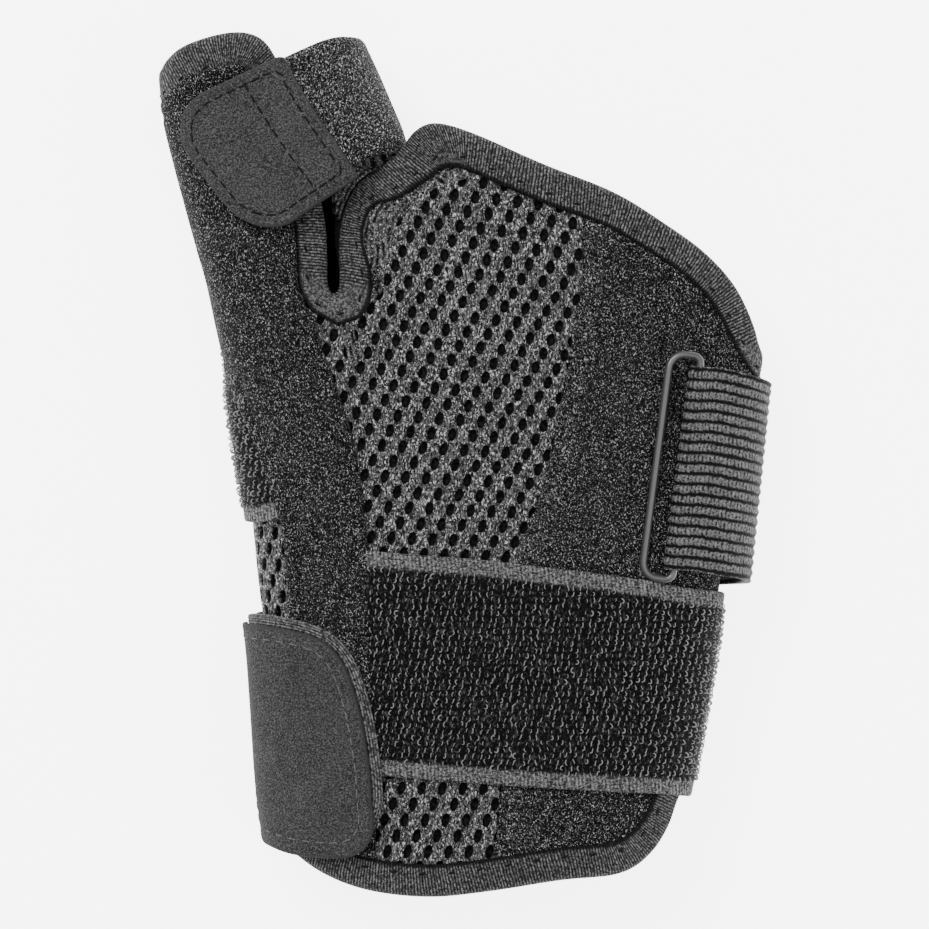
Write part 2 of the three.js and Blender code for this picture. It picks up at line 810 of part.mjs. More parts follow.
const splint = new THREE.Group();
splint.add(
  meshOf("mesh_sleeve", meshSleeve(), cloth(0x2c2c2e, 0.95)),
  meshOf("velour_panel", velourPanel(), cloth(0x1d1d1f, 1)),
  meshOf("opening_binding", openingBinding(), cloth(0x343436, 0.9)),
  meshOf("wrist_binding", wristBinding(), cloth(0x343436, 0.9)),
  meshOf("stay_panel", stayPanel(), cloth(0x1f1f21, 1)),
  meshOf("wrist_strap", wristStrap(), cloth(0x151516, 1)),
  meshOf("wrist_tab_backing", wristTabBacking(), cloth(0x4a4a4c, 0.9)),
  meshOf("wrist_tab_felt", wristTabFelt(), cloth(0x3a3a3c, 0.95)),
  meshOf("palm_strap", palmStrap(), cloth(0x151516, 1)),
  meshOf("ring_webbing", ringWebbing(), cloth(0x48484a, 0.9)),
  meshOf(
    "wire_ring",
    wireRing(),
    new THREE.MeshStandardMaterial({ color: 0x1a1a1a, roughness: 0.35, metalness: 0.2 }),
  ),
  meshOf("thumb_strap", thumbStrap(), cloth(0x222224, 1)),
  meshOf("thumb_tab", thumbTab(), cloth(0x3a3a3c, 0.95)),
);

// The origin is under the middle of the whole splint, on the surface that it lies on
const box = new THREE.Box3().setFromObject(splint);
const middle = box.getCenter(new THREE.Vector3());
splint.position.set(-middle.x, -middle.y, -box.min.z);

export default splint;
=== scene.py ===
import json
import math

import bmesh
import bpy
import numpy as np
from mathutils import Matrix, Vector
from mathutils.geometry import delaunay_2d_cdt

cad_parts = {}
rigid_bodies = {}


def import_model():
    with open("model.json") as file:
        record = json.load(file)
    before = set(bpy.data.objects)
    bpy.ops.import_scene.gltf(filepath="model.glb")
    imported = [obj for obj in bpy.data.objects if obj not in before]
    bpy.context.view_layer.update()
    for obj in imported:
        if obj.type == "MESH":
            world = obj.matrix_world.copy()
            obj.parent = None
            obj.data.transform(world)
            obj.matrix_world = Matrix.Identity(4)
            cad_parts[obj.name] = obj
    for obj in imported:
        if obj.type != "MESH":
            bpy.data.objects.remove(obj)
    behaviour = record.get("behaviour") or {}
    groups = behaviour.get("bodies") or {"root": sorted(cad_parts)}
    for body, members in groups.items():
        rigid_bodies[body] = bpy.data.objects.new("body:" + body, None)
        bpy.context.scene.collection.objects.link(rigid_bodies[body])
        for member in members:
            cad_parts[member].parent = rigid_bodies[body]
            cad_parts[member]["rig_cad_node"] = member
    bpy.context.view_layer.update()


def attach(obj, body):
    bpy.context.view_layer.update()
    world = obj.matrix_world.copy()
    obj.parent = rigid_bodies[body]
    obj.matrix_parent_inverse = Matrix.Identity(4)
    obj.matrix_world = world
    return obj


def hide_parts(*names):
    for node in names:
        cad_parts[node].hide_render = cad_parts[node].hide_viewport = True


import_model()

mm = 0.001

# The sleeve's shape, in millimetres and in shares of its length and width
size = {
    "length": 195,
    "width": 139.5,
    "sleeveDepth": 31,
    "thumbDepth": 25,
    "backHeight": 1.9,
    "thumbLift": 3,
    "crownShare": 0.45,
    "crownExponent": 2.6,
    "backExponent": 5,
    "backFlat": 0.3,
    "creaseRadius": 2.5,
    "middle": (70.24, 97.67),
}

# along, left, right, depth
handSections = [
    (-0.02, 0.21, 0.832, 1),
    (0.06, 0.206, 0.842, 1),
    (0.13, 0.195, 0.862, 1),
    (0.225, 0.186, 0.886, 1),
    (0.29, 0.179, 0.901, 1.02),
    (0.36, 0.166, 0.914, 1.04),
    (0.45, 0.153, 0.934, 1.04),
    (0.53, 0.135, 0.958, 1.02),
    (0.6, 0.127, 0.975, 0.99),
    (0.68, 0.18, 0.993, 0.95),
    (0.76, 0.25, 1.003, 0.91),
    (0.84, 0.3, 1.007, 0.87),
    (0.93, 0.345, 1.01, 0.83),
]
thumbSections = [
    (0.5, 0.19, 0.4, 0.98),
    (0.56, 0.15, 0.36, 1.02),
    (0.64, 0.118, 0.32, 1.04),
    (0.72, 0.093, 0.312, 1.03),
    (0.8, 0.058, 0.345, 1.01),
    (0.86, 0.032, 0.377, 1),
    (0.92, 0.014, 0.35, 0.97),
    (1.03, 0.005, 0.28, 0.92),
]
# a line inside both tubes, from which every section is seen
coreLine = [
    (-0.02, 0.26),
    (0.5, 0.26),
    (0.64, 0.25),
    (0.72, 0.265),
    (0.8, 0.308),
    (0.86, 0.343),
    (0.9, 0.347),
    (0.93, 0.33),
    (1.03, 0.2),
]

# across, along
wristEdge = [
    (0.06, 0.125), (0.135, 0.108), (0.178, 0.085), (0.212, 0.056), (0.269, 0.028), (0.345, 0.009),
    (0.445, 0.002), (0.545, 0.009), (0.656, 0.021), (0.75, 0.027), (0.8, 0.047), (0.831, 0.08),
    (0.848, 0.115), (0.872, 0.137), (0.94, 0.16),
]
fingerEdge = [
    (1.12, 0.55), (1.03, 0.565), (0.988, 0.61), (0.971, 0.66), (0.941, 0.705), (0.891, 0.744),
    (0.827, 0.777), (0.743, 0.814), (0.625, 0.848), (0.515, 0.883), (0.452, 0.896), (0.418, 0.886),
    (0.398, 0.866),
]
slitEdge = [
    (0.365, 0.845), (0.33, 0.822), (0.308, 0.79), (0.3, 0.75), (0.298, 0.705), (0.29, 0.694),
    (0.282, 0.705), (0.281, 0.749), (0.275, 0.79), (0.254, 0.848), (0.22, 0.918), (0.196, 0.972),
]
backWebEdge = [
    (0.393, 0.857), (0.376, 0.852), (0.358, 0.857), (0.33, 0.872), (0.28, 0.9), (0.235, 0.935),
    (0.2, 0.97),
]
thumbTipEdge = [
    (0.179, 0.99), (0.151, 0.999), (0.111, 0.998), (0.054, 0.987), (0.022, 0.974), (0.002, 0.955),
    (-0.05, 0.925),
]


def follow(table, column, along):  # a table's column at a share of the length, eased between rows
    rows = np.array(table, float)
    a, v = rows[:, 0], rows[:, column]
    slope = np.empty_like(v)
    slope[1:-1] = (v[2:] - v[:-2]) / (a[2:] - a[:-2])
    slope[0] = (v[1] - v[0]) / (a[1] - a[0])
    slope[-1] = (v[-1] - v[-2]) / (a[-1] - a[-2])
    along = np.asarray(along, float)
    i = np.clip(np.searchsorted(a, along) - 1, 0, len(a) - 2)
    span = a[i + 1] - a[i]
    u = (along - a[i]) / span
    rise = slope[i] * span * u * (1 - u) ** 2 + slope[i + 1] * span * u * u * (u - 1)
    return v[i] * (1 + 2 * u) * (1 - u) ** 2 + v[i + 1] * u * u * (3 - 2 * u) + rise


def smoothLine(points, perSpan=8):  # a smooth line through points
    p = np.array(points, float)
    p = np.vstack([2 * p[0] - p[1], p, 2 * p[-1] - p[-2]])
    t = np.linspace(0, 1, perSpan, endpoint=False)[:, None]
    line = []
    for i in range(1, len(p) - 2):
        a, b, c, d = p[i - 1], p[i], p[i + 1], p[i + 2]
        bend, twist = 2 * a - 5 * b + 4 * c - d, 3 * b - a - 3 * c + d
        line.append(0.5 * (2 * b + (c - a) * t + bend * t**2 + twist * t**3))
    return np.vstack(line + [p[-2][None]])


def placed(table, perSpan=8):  # a smooth line in millimetres, from shares of the width and length
    return smoothLine(table, perSpan) * [size["width"], size["length"]]


def evenly(line, step):  # the same line with points a step apart
    d = np.concatenate([[0], np.cumsum(np.linalg.norm(np.diff(line, axis=0), axis=1))])
    s = np.linspace(0, d[-1], max(2, int(round(d[-1] / step)) + 1))
    return np.stack([np.interp(s, d, line[:, k]) for k in range(line.shape[1])], 1)


def smoothed(values, passes):
    v = np.array(values, float)
    for _ in range(passes):
        v[1:-1] = 0.25 * v[:-2] + 0.5 * v[1:-1] + 0.25 * v[2:]
    return v


farOut = 260.0  # past every section, in millimetres


def rayTo(section, cx, cz, phi, front, back):  # distance from a point to a tube's section along rays
    mid, half, bottom, top = section
    waist = bottom + size["crownShare"] * (top - bottom)
    half = half + (front + back) / 2
    up, down = top - waist + front, waist - bottom + back
    floor = waist - down + size["backFlat"]
    c, s = np.cos(phi), np.sin(phi)
    low, high = np.zeros_like(phi), np.full_like(phi, farOut)
    for _ in range(34):  # halve the span until the section is found
        r = (low + high) / 2
        dx, dz = np.abs(cx + r * c - mid) / half, cz + r * s - waist
        e = np.where(dz >= 0, size["crownExponent"], size["backExponent"])
        outside = dx**e + (np.abs(dz) / np.where(dz >= 0, up, down)) ** e > 1
        low, high = np.where(outside, low, r), np.where(outside, r, high)
    hit = (low + high) / 2
    return np.minimum(hit, np.where(s < 0, np.maximum((floor - cz) / np.minimum(s, -1e-6), 0), 1e9))


def blendMax(a, b, k):
    h = np.clip(0.5 + 0.5 * (a - b) / k, 0, 1)
    return b * (1 - h) + a * h + k * h * (1 - h)


class Skin:  # a tube's outer surface: rows along the splint, columns round it from the left side over the front

    quarter = (110, 170, 170, 110)  # columns in each quarter turn
    rays = (700, 1400, 1400, 700)
    crowding = 2.2
    rowStep = 1.25

    def __init__(self, useHand=True, useThumb=True, front=0.0, back=0.0, first=-0.02, last=1.03, core=coreLine,
                 right=None):
        self.y = np.arange(first * size["length"], last * size["length"] + 0.01, self.rowStep)
        self.columns = sum(self.quarter)
        self.half = self.quarter[0] + self.quarter[1]
        turns = np.array([np.pi, np.pi / 2, 0, -np.pi / 2, -np.pi])
        phi = np.concatenate([np.linspace(a, b, n) for a, b, n in zip(turns[:-1], turns[1:], self.rays)])
        # rays crowd towards the right side, where they meet the cloth at a slant
        crowded = np.sign(phi) * np.abs(phi / (np.pi / 2)) ** self.crowding * np.pi / 2
        phi = np.where(np.cos(phi) > 0, crowded, phi)
        tubes = [(handSections, size["sleeveDepth"], 0, -1, 0.905)] if useHand else []
        if useThumb:
            tubes.append((thumbSections, size["thumbDepth"], size["thumbLift"], 0.53, 2))
        cz = size["backHeight"] + size["crownShare"] * size["sleeveDepth"] + (0 if useHand else 2)
        rows = []
        for y in self.y:
            along = y / size["length"]
            cx = float(np.interp(along, *np.array(core).T)) * size["width"]
            r = None
            for table, depth, lift, low, high in tubes:
                if not low <= along <= high:
                    continue
                left, edge = (float(follow(table, k, along)) * size["width"] for k in (1, 2))
                edge = edge if right is None else right(along)
                bottom = size["backHeight"] + lift - size["backFlat"]
                top = size["backHeight"] + lift + float(follow(table, 3, along)) * depth
                hit = rayTo(((left + edge) / 2, (edge - left) / 2, bottom, top), cx, cz, phi, front, back)
                r = hit if r is None else blendMax(r, hit, size["creaseRadius"])
            x, z = cx + r * np.cos(phi), cz + r * np.sin(phi)
            row, start = [], 0
            for count, n in zip(self.quarter, self.rays):
                part = np.stack([x[start:start + n], z[start:start + n]], 1)
                d = np.concatenate([[0], np.cumsum(np.linalg.norm(np.diff(part, axis=0), axis=1))])
                s = np.linspace(0, d[-1], count, endpoint=False)
                row.append(np.stack([np.interp(s, d, part[:, k]) for k in (0, 1)], 1))
                start += n
            rows.append(np.vstack(row))
        grid = np.array(rows)
        y = np.broadcast_to(self.y[:, None, None], grid.shape[:2] + (1,))
        self.p = np.concatenate([grid[:, :, :1], y, grid[:, :, 1:]], 2)
        n = np.cross(np.roll(self.p, -1, 1) - np.roll(self.p, 1, 1), np.gradient(self.p, axis=0))
        n /= np.linalg.norm(n, axis=2, keepdims=True) + 1e-12
        for _ in range(3):
            n = (n + np.roll(n, 1, 1) + np.roll(n, -1, 1))
            n /= np.linalg.norm(n, axis=2, keepdims=True) + 1e-12
        self.n = n
        step = np.linalg.norm(np.roll(self.p, -1, 1) - self.p, axis=2)
        self.s = np.concatenate([np.zeros((len(self.y), 1)), np.cumsum(step, 1)[:, :-1]], 1)  # from the left side
        self.girth = step.sum(1)

    def rowOf(self, y):
        f = np.clip((np.asarray(y, float) - self.y[0]) / self.rowStep, 0, len(self.y) - 1.001)
        i = f.astype(int)
        return i, f - i

    def sample(self, grid, y, column):
        i, fy = self.rowOf(y)
        column = np.asarray(column, float)
        turn = np.floor(column / self.columns)
        q = column - turn * self.columns
        j = q.astype(int) % self.columns
        fx = q - np.floor(q)
        k = (j + 1) % self.columns
        if grid.ndim == 3:
            fx, fy = fx[..., None], fy[..., None]
            low, high = (grid[r, j] * (1 - fx) + grid[r, k] * fx for r in (i, i + 1))
        else:  # distances start again after a full turn
            low, high = (grid[r, j] * (1 - fx) + (grid[r, k] + (k == 0) * self.girth[r]) * fx + turn * self.girth[r]
                         for r in (i, i + 1))
        return low * (1 - fy) + high * fy

    def at(self, y, column, t=0.0):  # points at a height over the surface
        p, n = self.sample(self.p, y, column), self.sample(self.n, y, column)
        n = n / (np.linalg.norm(n, axis=-1, keepdims=True) + 1e-12)
        return p + n * np.broadcast_to(np.asarray(t, float), n.shape[:-1])[..., None]

    def reach(self, y, column):  # distance round the section from its left side
        return self.sample(self.s, y, column)

    def place(self, line, t=0.0):  # points over a line of (reach, y)
        return self.at(line[:, 1], self.columnAt(line[:, 1], line[:, 0]), t)

    def girthAt(self, y):
        i, f = self.rowOf(y)
        return self.girth[i] * (1 - f) + self.girth[i + 1] * f

    def columnAt(self, y, reach):
        y, reach = np.broadcast_arrays(np.asarray(y, float), np.asarray(reach, float))
        out = np.empty(y.size)
        i, f = self.rowOf(y.ravel())
        q = np.arange(self.columns + 1)
        for k, (a, b, s) in enumerate(zip(i, f, reach.ravel())):
            row = np.append(self.s[a], self.girth[a]) * (1 - b) + np.append(self.s[a + 1], self.girth[a + 1]) * b
            turn = np.floor(s / row[-1])
            out[k] = np.interp(s - turn * row[-1], row, q) + turn * self.columns
        return out.reshape(y.shape)

    def columnOver(self, x, y, order):  # where a run of columns passes a place across
        x, y = np.broadcast_arrays(np.asarray(x, float), np.asarray(y, float))
        i, f = self.rowOf(y.ravel())
        q = order % self.columns
        out = [np.interp(v, self.p[a, q, 0] * (1 - b) + self.p[a + 1, q, 0] * b, order)
               for a, b, v in zip(i, f, x.ravel())]
        return np.array(out).reshape(x.shape)

    def frontColumn(self, x, y):
        return self.columnOver(x, y, np.arange(self.half + 1))

    def backColumn(self, x, y):
        return self.columnOver(x, y, np.arange(self.columns, self.half - 1, -1))


sleeve = Skin()
print("sleeve surface worked out:", sleeve.p.shape)


# Places on the sleeve are (reach, y) in millimetres: reach is 0 along the left side, grows over the front and
# falls below 0 behind
def over(skin, line):  # the part of a plan line that lies over the skin
    i, _ = skin.rowOf(line[:, 1])
    return line[(line[:, 0] > skin.p[i, 0, 0] + 0.05) & (line[:, 0] < skin.p[i, skin.half, 0] - 0.05)]


def onFront(skin, line):
    return np.stack([skin.reach(line[:, 1], skin.frontColumn(line[:, 0], line[:, 1])), line[:, 1]], 1)


def onBack(skin, line, fromRight=False):
    column = skin.backColumn(line[:, 0], line[:, 1]) - (0 if fromRight else skin.columns)
    return np.stack([skin.reach(line[:, 1], column), line[:, 1]], 1)


class Field:  # distance inside an outline, kept on a grid of reach and y

    step = 0.8

    def __init__(self, low, high, rule):
        self.low = np.array(low, float)
        self.s = np.arange(low[0], high[0] + self.step, self.step)
        self.y = np.arange(low[1], high[1] + self.step, self.step)
        s, y = np.meshgrid(self.s, self.y)
        self.v = rule(s, y)

    def __call__(self, s, y):
        s, y = np.asarray(s, float), np.asarray(y, float)
        a = np.clip((s - self.low[0]) / self.step, 0, len(self.s) - 1.001)
        b = np.clip((y - self.low[1]) / self.step, 0, len(self.y) - 1.001)
        i, j = a.astype(int), b.astype(int)
        a, b = a - i, b - j
        v = self.v
        return (v[j, i] * (1 - a) + v[j, i + 1] * a) * (1 - b) + (v[j + 1, i] * (1 - a) + v[j + 1, i + 1] * a) * b


def distanceInside(outline):  # signed distance to a closed outline, positive inside
    a = np.array(outline, float)
    b = np.roll(a, -1, 0)

    def rule(s, y):
        q = np.stack([s.ravel(), y.ravel()], 1)
        best = np.full(len(q), 1e9)
        odd = np.zeros(len(q), bool)
        for p, r in zip(a, b):
            e = r - p
            t = np.clip(((q - p) @ e) / max(e @ e, 1e-12), 0, 1)
            best = np.minimum(best, np.hypot(q[:, 0] - p[0] - t * e[0], q[:, 1] - p[1] - t * e[1]))
            if p[1] != r[1]:
                crosses = (p[1] > q[:, 1]) != (r[1] > q[:, 1])
                odd ^= crosses & (q[:, 0] < (r[0] - p[0]) * (q[:, 1] - p[1]) / (r[1] - p[1]) + p[0])
        return np.where(odd, best, -best).reshape(s.shape)

    return rule


def beside(line, flip=False):  # distance to the left of a line that runs along y, or to its right
    line = np.array(line, float)
    line = line[np.argsort(line[:, 1])]
    k, v = line[:, 1], line[:, 0]
    slope = np.gradient(v, k)

    def rule(s, y):
        d = (s - np.interp(y, k, v)) / np.sqrt(1 + np.interp(y, k, slope) ** 2)
        return d if flip else -d

    return rule


def levelLoops(grid, level):  # closed loops where a field crosses a level
    g = grid.v - level
    for border in (g[0], g[-1], g[:, 0], g[:, -1]):
        np.minimum(border, -0.05, out=border)
    inside = g > 0
    mixed = inside[:-1, :-1] != inside[1:, 1:]
    mixed |= (inside[:-1, 1:] != inside[1:, :-1]) | (inside[:-1, :-1] != inside[:-1, 1:])
    links = {}
    for j, i in zip(*np.nonzero(mixed)):
        nodes = [(j, i), (j, i + 1), (j + 1, i + 1), (j + 1, i)]
        cut = [tuple(sorted((nodes[k], nodes[(k + 1) % 4]))) for k in range(4)
               if inside[nodes[k]] != inside[nodes[(k + 1) % 4]]]
        if len(cut) == 2:
            pairs = [cut]
        elif inside[nodes[0]] != (sum(g[n] for n in nodes) > 0):
            pairs = [cut[:2], cut[2:]]
        else:
            pairs = [[cut[3], cut[0]], [cut[1], cut[2]]]
        for a, b in pairs:
            links.setdefault(a, []).append(b)
            links.setdefault(b, []).append(a)

    def crossing(edge):
        (ja, ia), (jb, ib) = edge
        t = g[ja, ia] / (g[ja, ia] - g[jb, ib])
        return (grid.low[0] + grid.step * (ia + t * (ib - ia)), grid.low[1] + grid.step * (ja + t * (jb - ja)))

    loops, seen = [], set()
    for start in links:
        if start in seen:
            continue
        loop, at, before = [start], links[start][0], start
        seen.add(start)
        while at != start and at not in seen:
            seen.add(at)
            loop.append(at)
            ahead = [n for n in links[at] if n != before]
            before, at = at, (ahead[0] if ahead else start)
        if len(loop) > 5:
            loops.append(np.array([crossing(e) for e in loop]))
    return loops


def evenLoop(loop, step, passes=2):
    p = loop
    for _ in range(passes):
        p = 0.25 * np.roll(p, 1, 0) + 0.5 * p + 0.25 * np.roll(p, -1, 0)
    return evenly(np.vstack([p, p[:1]]), step)[:-1]


def triangulate(field, levels, step, inner):  # fills a field's outline, with rings of points near its edge
    points, edges = [], []
    for level in levels:
        for loop in levelLoops(field, level):
            ring = evenLoop(loop, step)
            if len(ring) < 6:
                continue
            n = len(points)
            points += [tuple(p) for p in ring]
            edges += [(n + k, n + (k + 1) % len(ring)) for k in range(len(ring))]
    for k, y in enumerate(np.arange(field.low[1], field.y[-1], inner * 0.87)):
        s = np.arange(field.low[0] + (k % 2) * inner / 2, field.s[-1], inner)
        good = field(s, np.full_like(s, y)) > levels[-1] + 0.55 * inner
        points += [(a, y) for a in s[good]]
    result = delaunay_2d_cdt([Vector(p) for p in points], edges, [], 0, 1e-5)
    p = np.array([tuple(v) for v in result[0]])
    tri = np.array(result[2], int)
    corner = p[tri]
    area = np.cross(corner[:, 1] - corner[:, 0], corner[:, 2] - corner[:, 0])
    good = (field(*corner.mean(1).T) > -0.02) & (np.abs(area) > 1e-5)
    tri, area = tri[good], area[good]
    tri[area < 0] = tri[area < 0][:, ::-1]
    used, tri = np.unique(tri, return_inverse=True)
    return p[used], tri.reshape(-1, 3)


def toWorld(p):
    return (np.asarray(p, float) - [size["middle"][0], size["middle"][1], 0]) * mm


def linked(name, data):
    item = bpy.data.objects.new(name, data)
    bpy.context.scene.collection.objects.link(item)
    return item


def flatObject(name, points, faces):
    mesh = bpy.data.meshes.new(name)
    mesh.from_pydata(np.asarray(points, float).tolist(), [], [list(map(int, f)) for f in faces])
    return linked(name, mesh)


def setUv(mesh, uv):
    index = np.empty(len(mesh.loops), int)
    mesh.loops.foreach_get("vertex_index", index)
    mesh.uv_layers.new(name="cloth").data.foreach_set("uv", (np.asarray(uv, float)[index] * mm).ravel())


def setValues(mesh, key, values):
    mesh.attributes.new(key, "FLOAT", "POINT").data.foreach_set("value", np.ascontiguousarray(values, np.float32))


def makeMesh(name, points, faces, material, uv=None, values=None):
    piece = flatObject(name, toWorld(points), faces)
    mesh = piece.data
    if uv is not None:
        setUv(mesh, uv)
    for key, value in (values or {}).items():
        setValues(mesh, key, value)
    mesh.polygons.foreach_set("use_smooth", [True] * len(mesh.polygons))
    mesh.materials.append(material)
    mesh.validate()
    mesh.update()
    return piece


def tubeFaces(rings, sides, closed=False):  # quads between neighbouring rings of points
    faces = []
    for k in range(rings if closed else rings - 1):
        for i in range(sides):
            a, b, j = sides * k, sides * ((k + 1) % rings), (i + 1) % sides
            faces.append((a + i, a + j, b + j, b + i))
    return faces


def fixNormals(piece):
    work = bmesh.new()
    work.from_mesh(piece.data)
    bmesh.ops.recalc_face_normals(work, faces=work.faces)
    work.to_mesh(piece.data)
    work.free()
    piece.data.update()


cuts = {}  # each cloth's flat width, length and area


def clothPatch(name, skin, field, low, high, material, step, inner, roll=0.5, relief=None, values=None):
    # a cloth between two heights over a skin, with its edges rolled down
    flat, tri = triangulate(field, [0.0, 0.3 * roll, roll] if roll else [0.0], step, inner)
    s, y = flat.T
    corner = flat[tri]
    area = 0.5 * np.abs(np.cross(corner[:, 1] - corner[:, 0], corner[:, 2] - corner[:, 0])).sum()
    cuts[name] = (np.ptp(s), np.ptp(y), area)
    edge = np.maximum(field(s, y), 0)
    top = high - np.where(edge < roll, roll - np.sqrt(np.maximum(roll**2 - (roll - edge) ** 2, 0)), 0)
    if relief is not None:
        top = top + relief(s, y, edge)
    column = skin.columnAt(y, s)
    n = len(s)
    directed = np.vstack([tri[:, [0, 1]], tri[:, [1, 2]], tri[:, [2, 0]]])
    _, first, count = np.unique(np.sort(directed, 1), axis=0, return_index=True, return_counts=True)
    rim = directed[first[count == 1]]
    faces = [tuple(t) for t in tri] + [tuple(t[::-1] + n) for t in tri] + [(b, a, a + n, b + n) for a, b in rim]
    extra = {"edge": np.tile(edge, 2)}
    for key, rule in (values or {}).items():
        extra[key] = np.tile(rule(s, y), 2)
    points = np.vstack([skin.at(y, column, top), skin.at(y, column, low)])
    return makeMesh(name, points, faces, material, np.vstack([flat, flat]), extra)


class Value:  # a node socket in an expression

    def __init__(self, shade, socket):
        self.shade, self.socket = shade, socket

    def maths(self, operation, other=None, flip=False):
        parts = [self] if other is None else ([other, self] if flip else [self, other])
        values = {k: (v.socket if isinstance(v, Value) else v) for k, v in enumerate(parts)}
        return Value(self.shade, self.shade.node("ShaderNodeMath", {"operation": operation}, values).outputs[0])

    def __add__(self, other):
        return self.maths("ADD", other)

    __radd__ = __add__

    def __sub__(self, other):
        return self.maths("SUBTRACT", other)

    def __rsub__(self, other):
        return self.maths("SUBTRACT", other, flip=True)

    def __mul__(self, other):
        return self.maths("MULTIPLY", other)

    __rmul__ = __mul__

    def __abs__(self):
        return self.maths("ABSOLUTE")

    def sine(self):
        return self.maths("SINE")

    def step(self, low, high):  # eased from 0 to 1 between two values
        node = self.shade.node("ShaderNodeMapRange", {"interpolation_type": "SMOOTHSTEP"}, {
            "Value": self.socket, "From Min": low, "From Max": high})
        return Value(self.shade, node.outputs[0])


class Finish:  # one material and its nodes

    def __init__(self, name, roughness=0.8, specular=0.3):
        self.material = bpy.data.materials.new(name)
        self.material.use_nodes = True
        self.tree = self.material.node_tree
        self.tree.nodes.clear()
        self.shader = self.node("ShaderNodeBsdfPrincipled", {}, {
            "Roughness": roughness, "Specular IOR Level": specular})
        out = self.node("ShaderNodeOutputMaterial")
        self.tree.links.new(self.shader.outputs[0], out.inputs[0])

    def node(self, kind, settings=None, values=None):
        node = self.tree.nodes.new(kind)
        for key, value in (settings or {}).items():
            if key == "stops":
                ramp = node.color_ramp
                for k, (place, colour) in enumerate(value):
                    stop = ramp.elements[k] if k < 2 else ramp.elements.new(place)
                    stop.position, stop.color = place, (*colour, 1)
            else:
                setattr(node, key, value)
        for key, value in (values or {}).items():
            value = value.socket if isinstance(value, Value) else value
            if isinstance(value, bpy.types.NodeSocket):
                self.tree.links.new(value, node.inputs[key])
            else:
                node.inputs[key].default_value = value
        return node

    def place(self, kind="UV"):
        return self.node("ShaderNodeTexCoord").outputs[kind]

    def split(self, socket):
        node = self.node("ShaderNodeSeparateXYZ", {}, {0: socket})
        return [Value(self, o) for o in node.outputs]

    def turned(self, socket, angle=0.0, scale=(1, 1, 1)):
        node = self.node("ShaderNodeMapping", {}, {"Vector": socket, "Rotation": (0, 0, angle), "Scale": scale})
        return node.outputs[0]

    def noise(self, socket, grain, detail=3.0, roughness=0.6, distortion=0.0):  # grain in millimetres
        node = self.node("ShaderNodeTexNoise", {}, {
            "Vector": socket, "Scale": 1 / (grain * mm), "Detail": detail, "Roughness": roughness,
            "Distortion": distortion})
        return Value(self, node.outputs["Factor" if "Factor" in node.outputs else "Fac"])

    def attribute(self, name):
        return Value(self, self.node("ShaderNodeAttribute", {"attribute_name": name}).outputs["Fac"])

    def colours(self, factor, stops):
        return self.node("ShaderNodeValToRGB", {"stops": stops}, {0: factor}).outputs[0]

    def mix(self, factor, a, b):
        node = self.node("ShaderNodeMix", {"data_type": "RGBA"}, {"Factor": factor})
        for socket, value in ((node.inputs[6], a), (node.inputs[7], b)):
            if isinstance(value, bpy.types.NodeSocket):
                self.tree.links.new(value, socket)
            else:
                socket.default_value = (*value, 1)
        return node.outputs[2]

    def done(self, colour, height=None, depth=0.3, strength=0.6):
        shader = self.shader
        if isinstance(colour, bpy.types.NodeSocket):
            self.tree.links.new(colour, shader.inputs["Base Color"])
        else:
            shader.inputs["Base Color"].default_value = (*colour, 1)
        if height is not None:
            bump = self.node("ShaderNodeBump", {}, {"Height": height, "Distance": depth * mm, "Strength": strength})
            self.tree.links.new(bump.outputs[0], shader.inputs["Normal"])
        return self.material


def grey(level):
    return (level, level, level * 1.01)


perMm = 2000 * math.pi  # one wave to the millimetre, on a UV map in metres


def waves(phase):  # from 0 to 1 and back
    return (phase.sine() + 1) * 0.5


def speckle(f, at, grain, stretch=(1, 1, 1), turn=0.0, low=0.5, high=0.62):  # sharp light fibres on a dark ground
    broken = f.noise(f.turned(at, turn, stretch), grain, 2.5, 0.7, 0.6)
    return broken.step(low, high), broken


velourTones = {"dark": 0.0008, "middle": 0.02, "light": 0.4, "grain": 0.52, "rows": 0}
fuzzTones = {"dark": 0.0012, "middle": 0.06, "light": 0.42, "grain": 0.6, "rows": 0}
padTones = {"dark": 0.001, "middle": 0.09, "light": 0.5, "grain": 0.55, "rows": 1.15}


def velourFinish(name, tones):
    f = Finish(name, roughness=0.9, specular=0.06)
    at = f.place("Object")
    fibre, ground = speckle(f, at, tones["grain"], (1, 1.5, 1), 0.35)
    spark, _ = speckle(f, at, tones["grain"] * 0.75, (1.4, 1, 1), 0.9, 0.56, 0.66)
    wear = f.noise(at, 16, 3)
    if tones["rows"]:
        u, _, _ = f.split(f.place("UV"))
        fibre = fibre * (waves(u * (perMm / tones["rows"])) * 0.85 + 0.25)
    base = f.mix(fibre * (wear * 0.7 + 0.5), grey(tones["dark"]), grey(tones["middle"]))
    return f.done(f.mix(spark * 0.85, base, grey(tones["light"])), ground * 0.7 + fibre * 0.5, 0.4, 0.9)


seamFuzz = velourFinish("seam_fuzz", fuzzTones)
velour = velourFinish("velour", velourTones)
padVelour = velourFinish("brushed_strap", padTones)

feltTones = {"dark": 0.006, "middle": 0.026, "light": 0.07, "hair": 0.12, "grain": 0.36, "hairGrain": 0.5}


def feltFinish(tones):
    f = Finish("felt", roughness=0.95, specular=0.05)
    at = f.place("Object")
    fine = f.noise(at, tones["grain"], 2.5, 0.8)
    hair, _ = speckle(f, at, tones["hairGrain"], (1, 2.6, 1), 1.1, 0.6, 0.72)
    soft = f.noise(at, 9, 3)
    colour = f.colours(fine * 0.92 + soft * 0.08, [
        (0.38, grey(tones["dark"])), (0.5, grey(tones["middle"])), (0.62, grey(tones["light"]))])
    # the rolled rim, within about a millimetre of the edge, is plain middle grey
    plainRim = f.mix(f.attribute("edge").step(0.1, 0.9), grey(tones["middle"]), colour)
    return f.done(f.mix(hair * 0.45, plainRim, grey(tones["hair"])), fine, 0.25, 0.6)


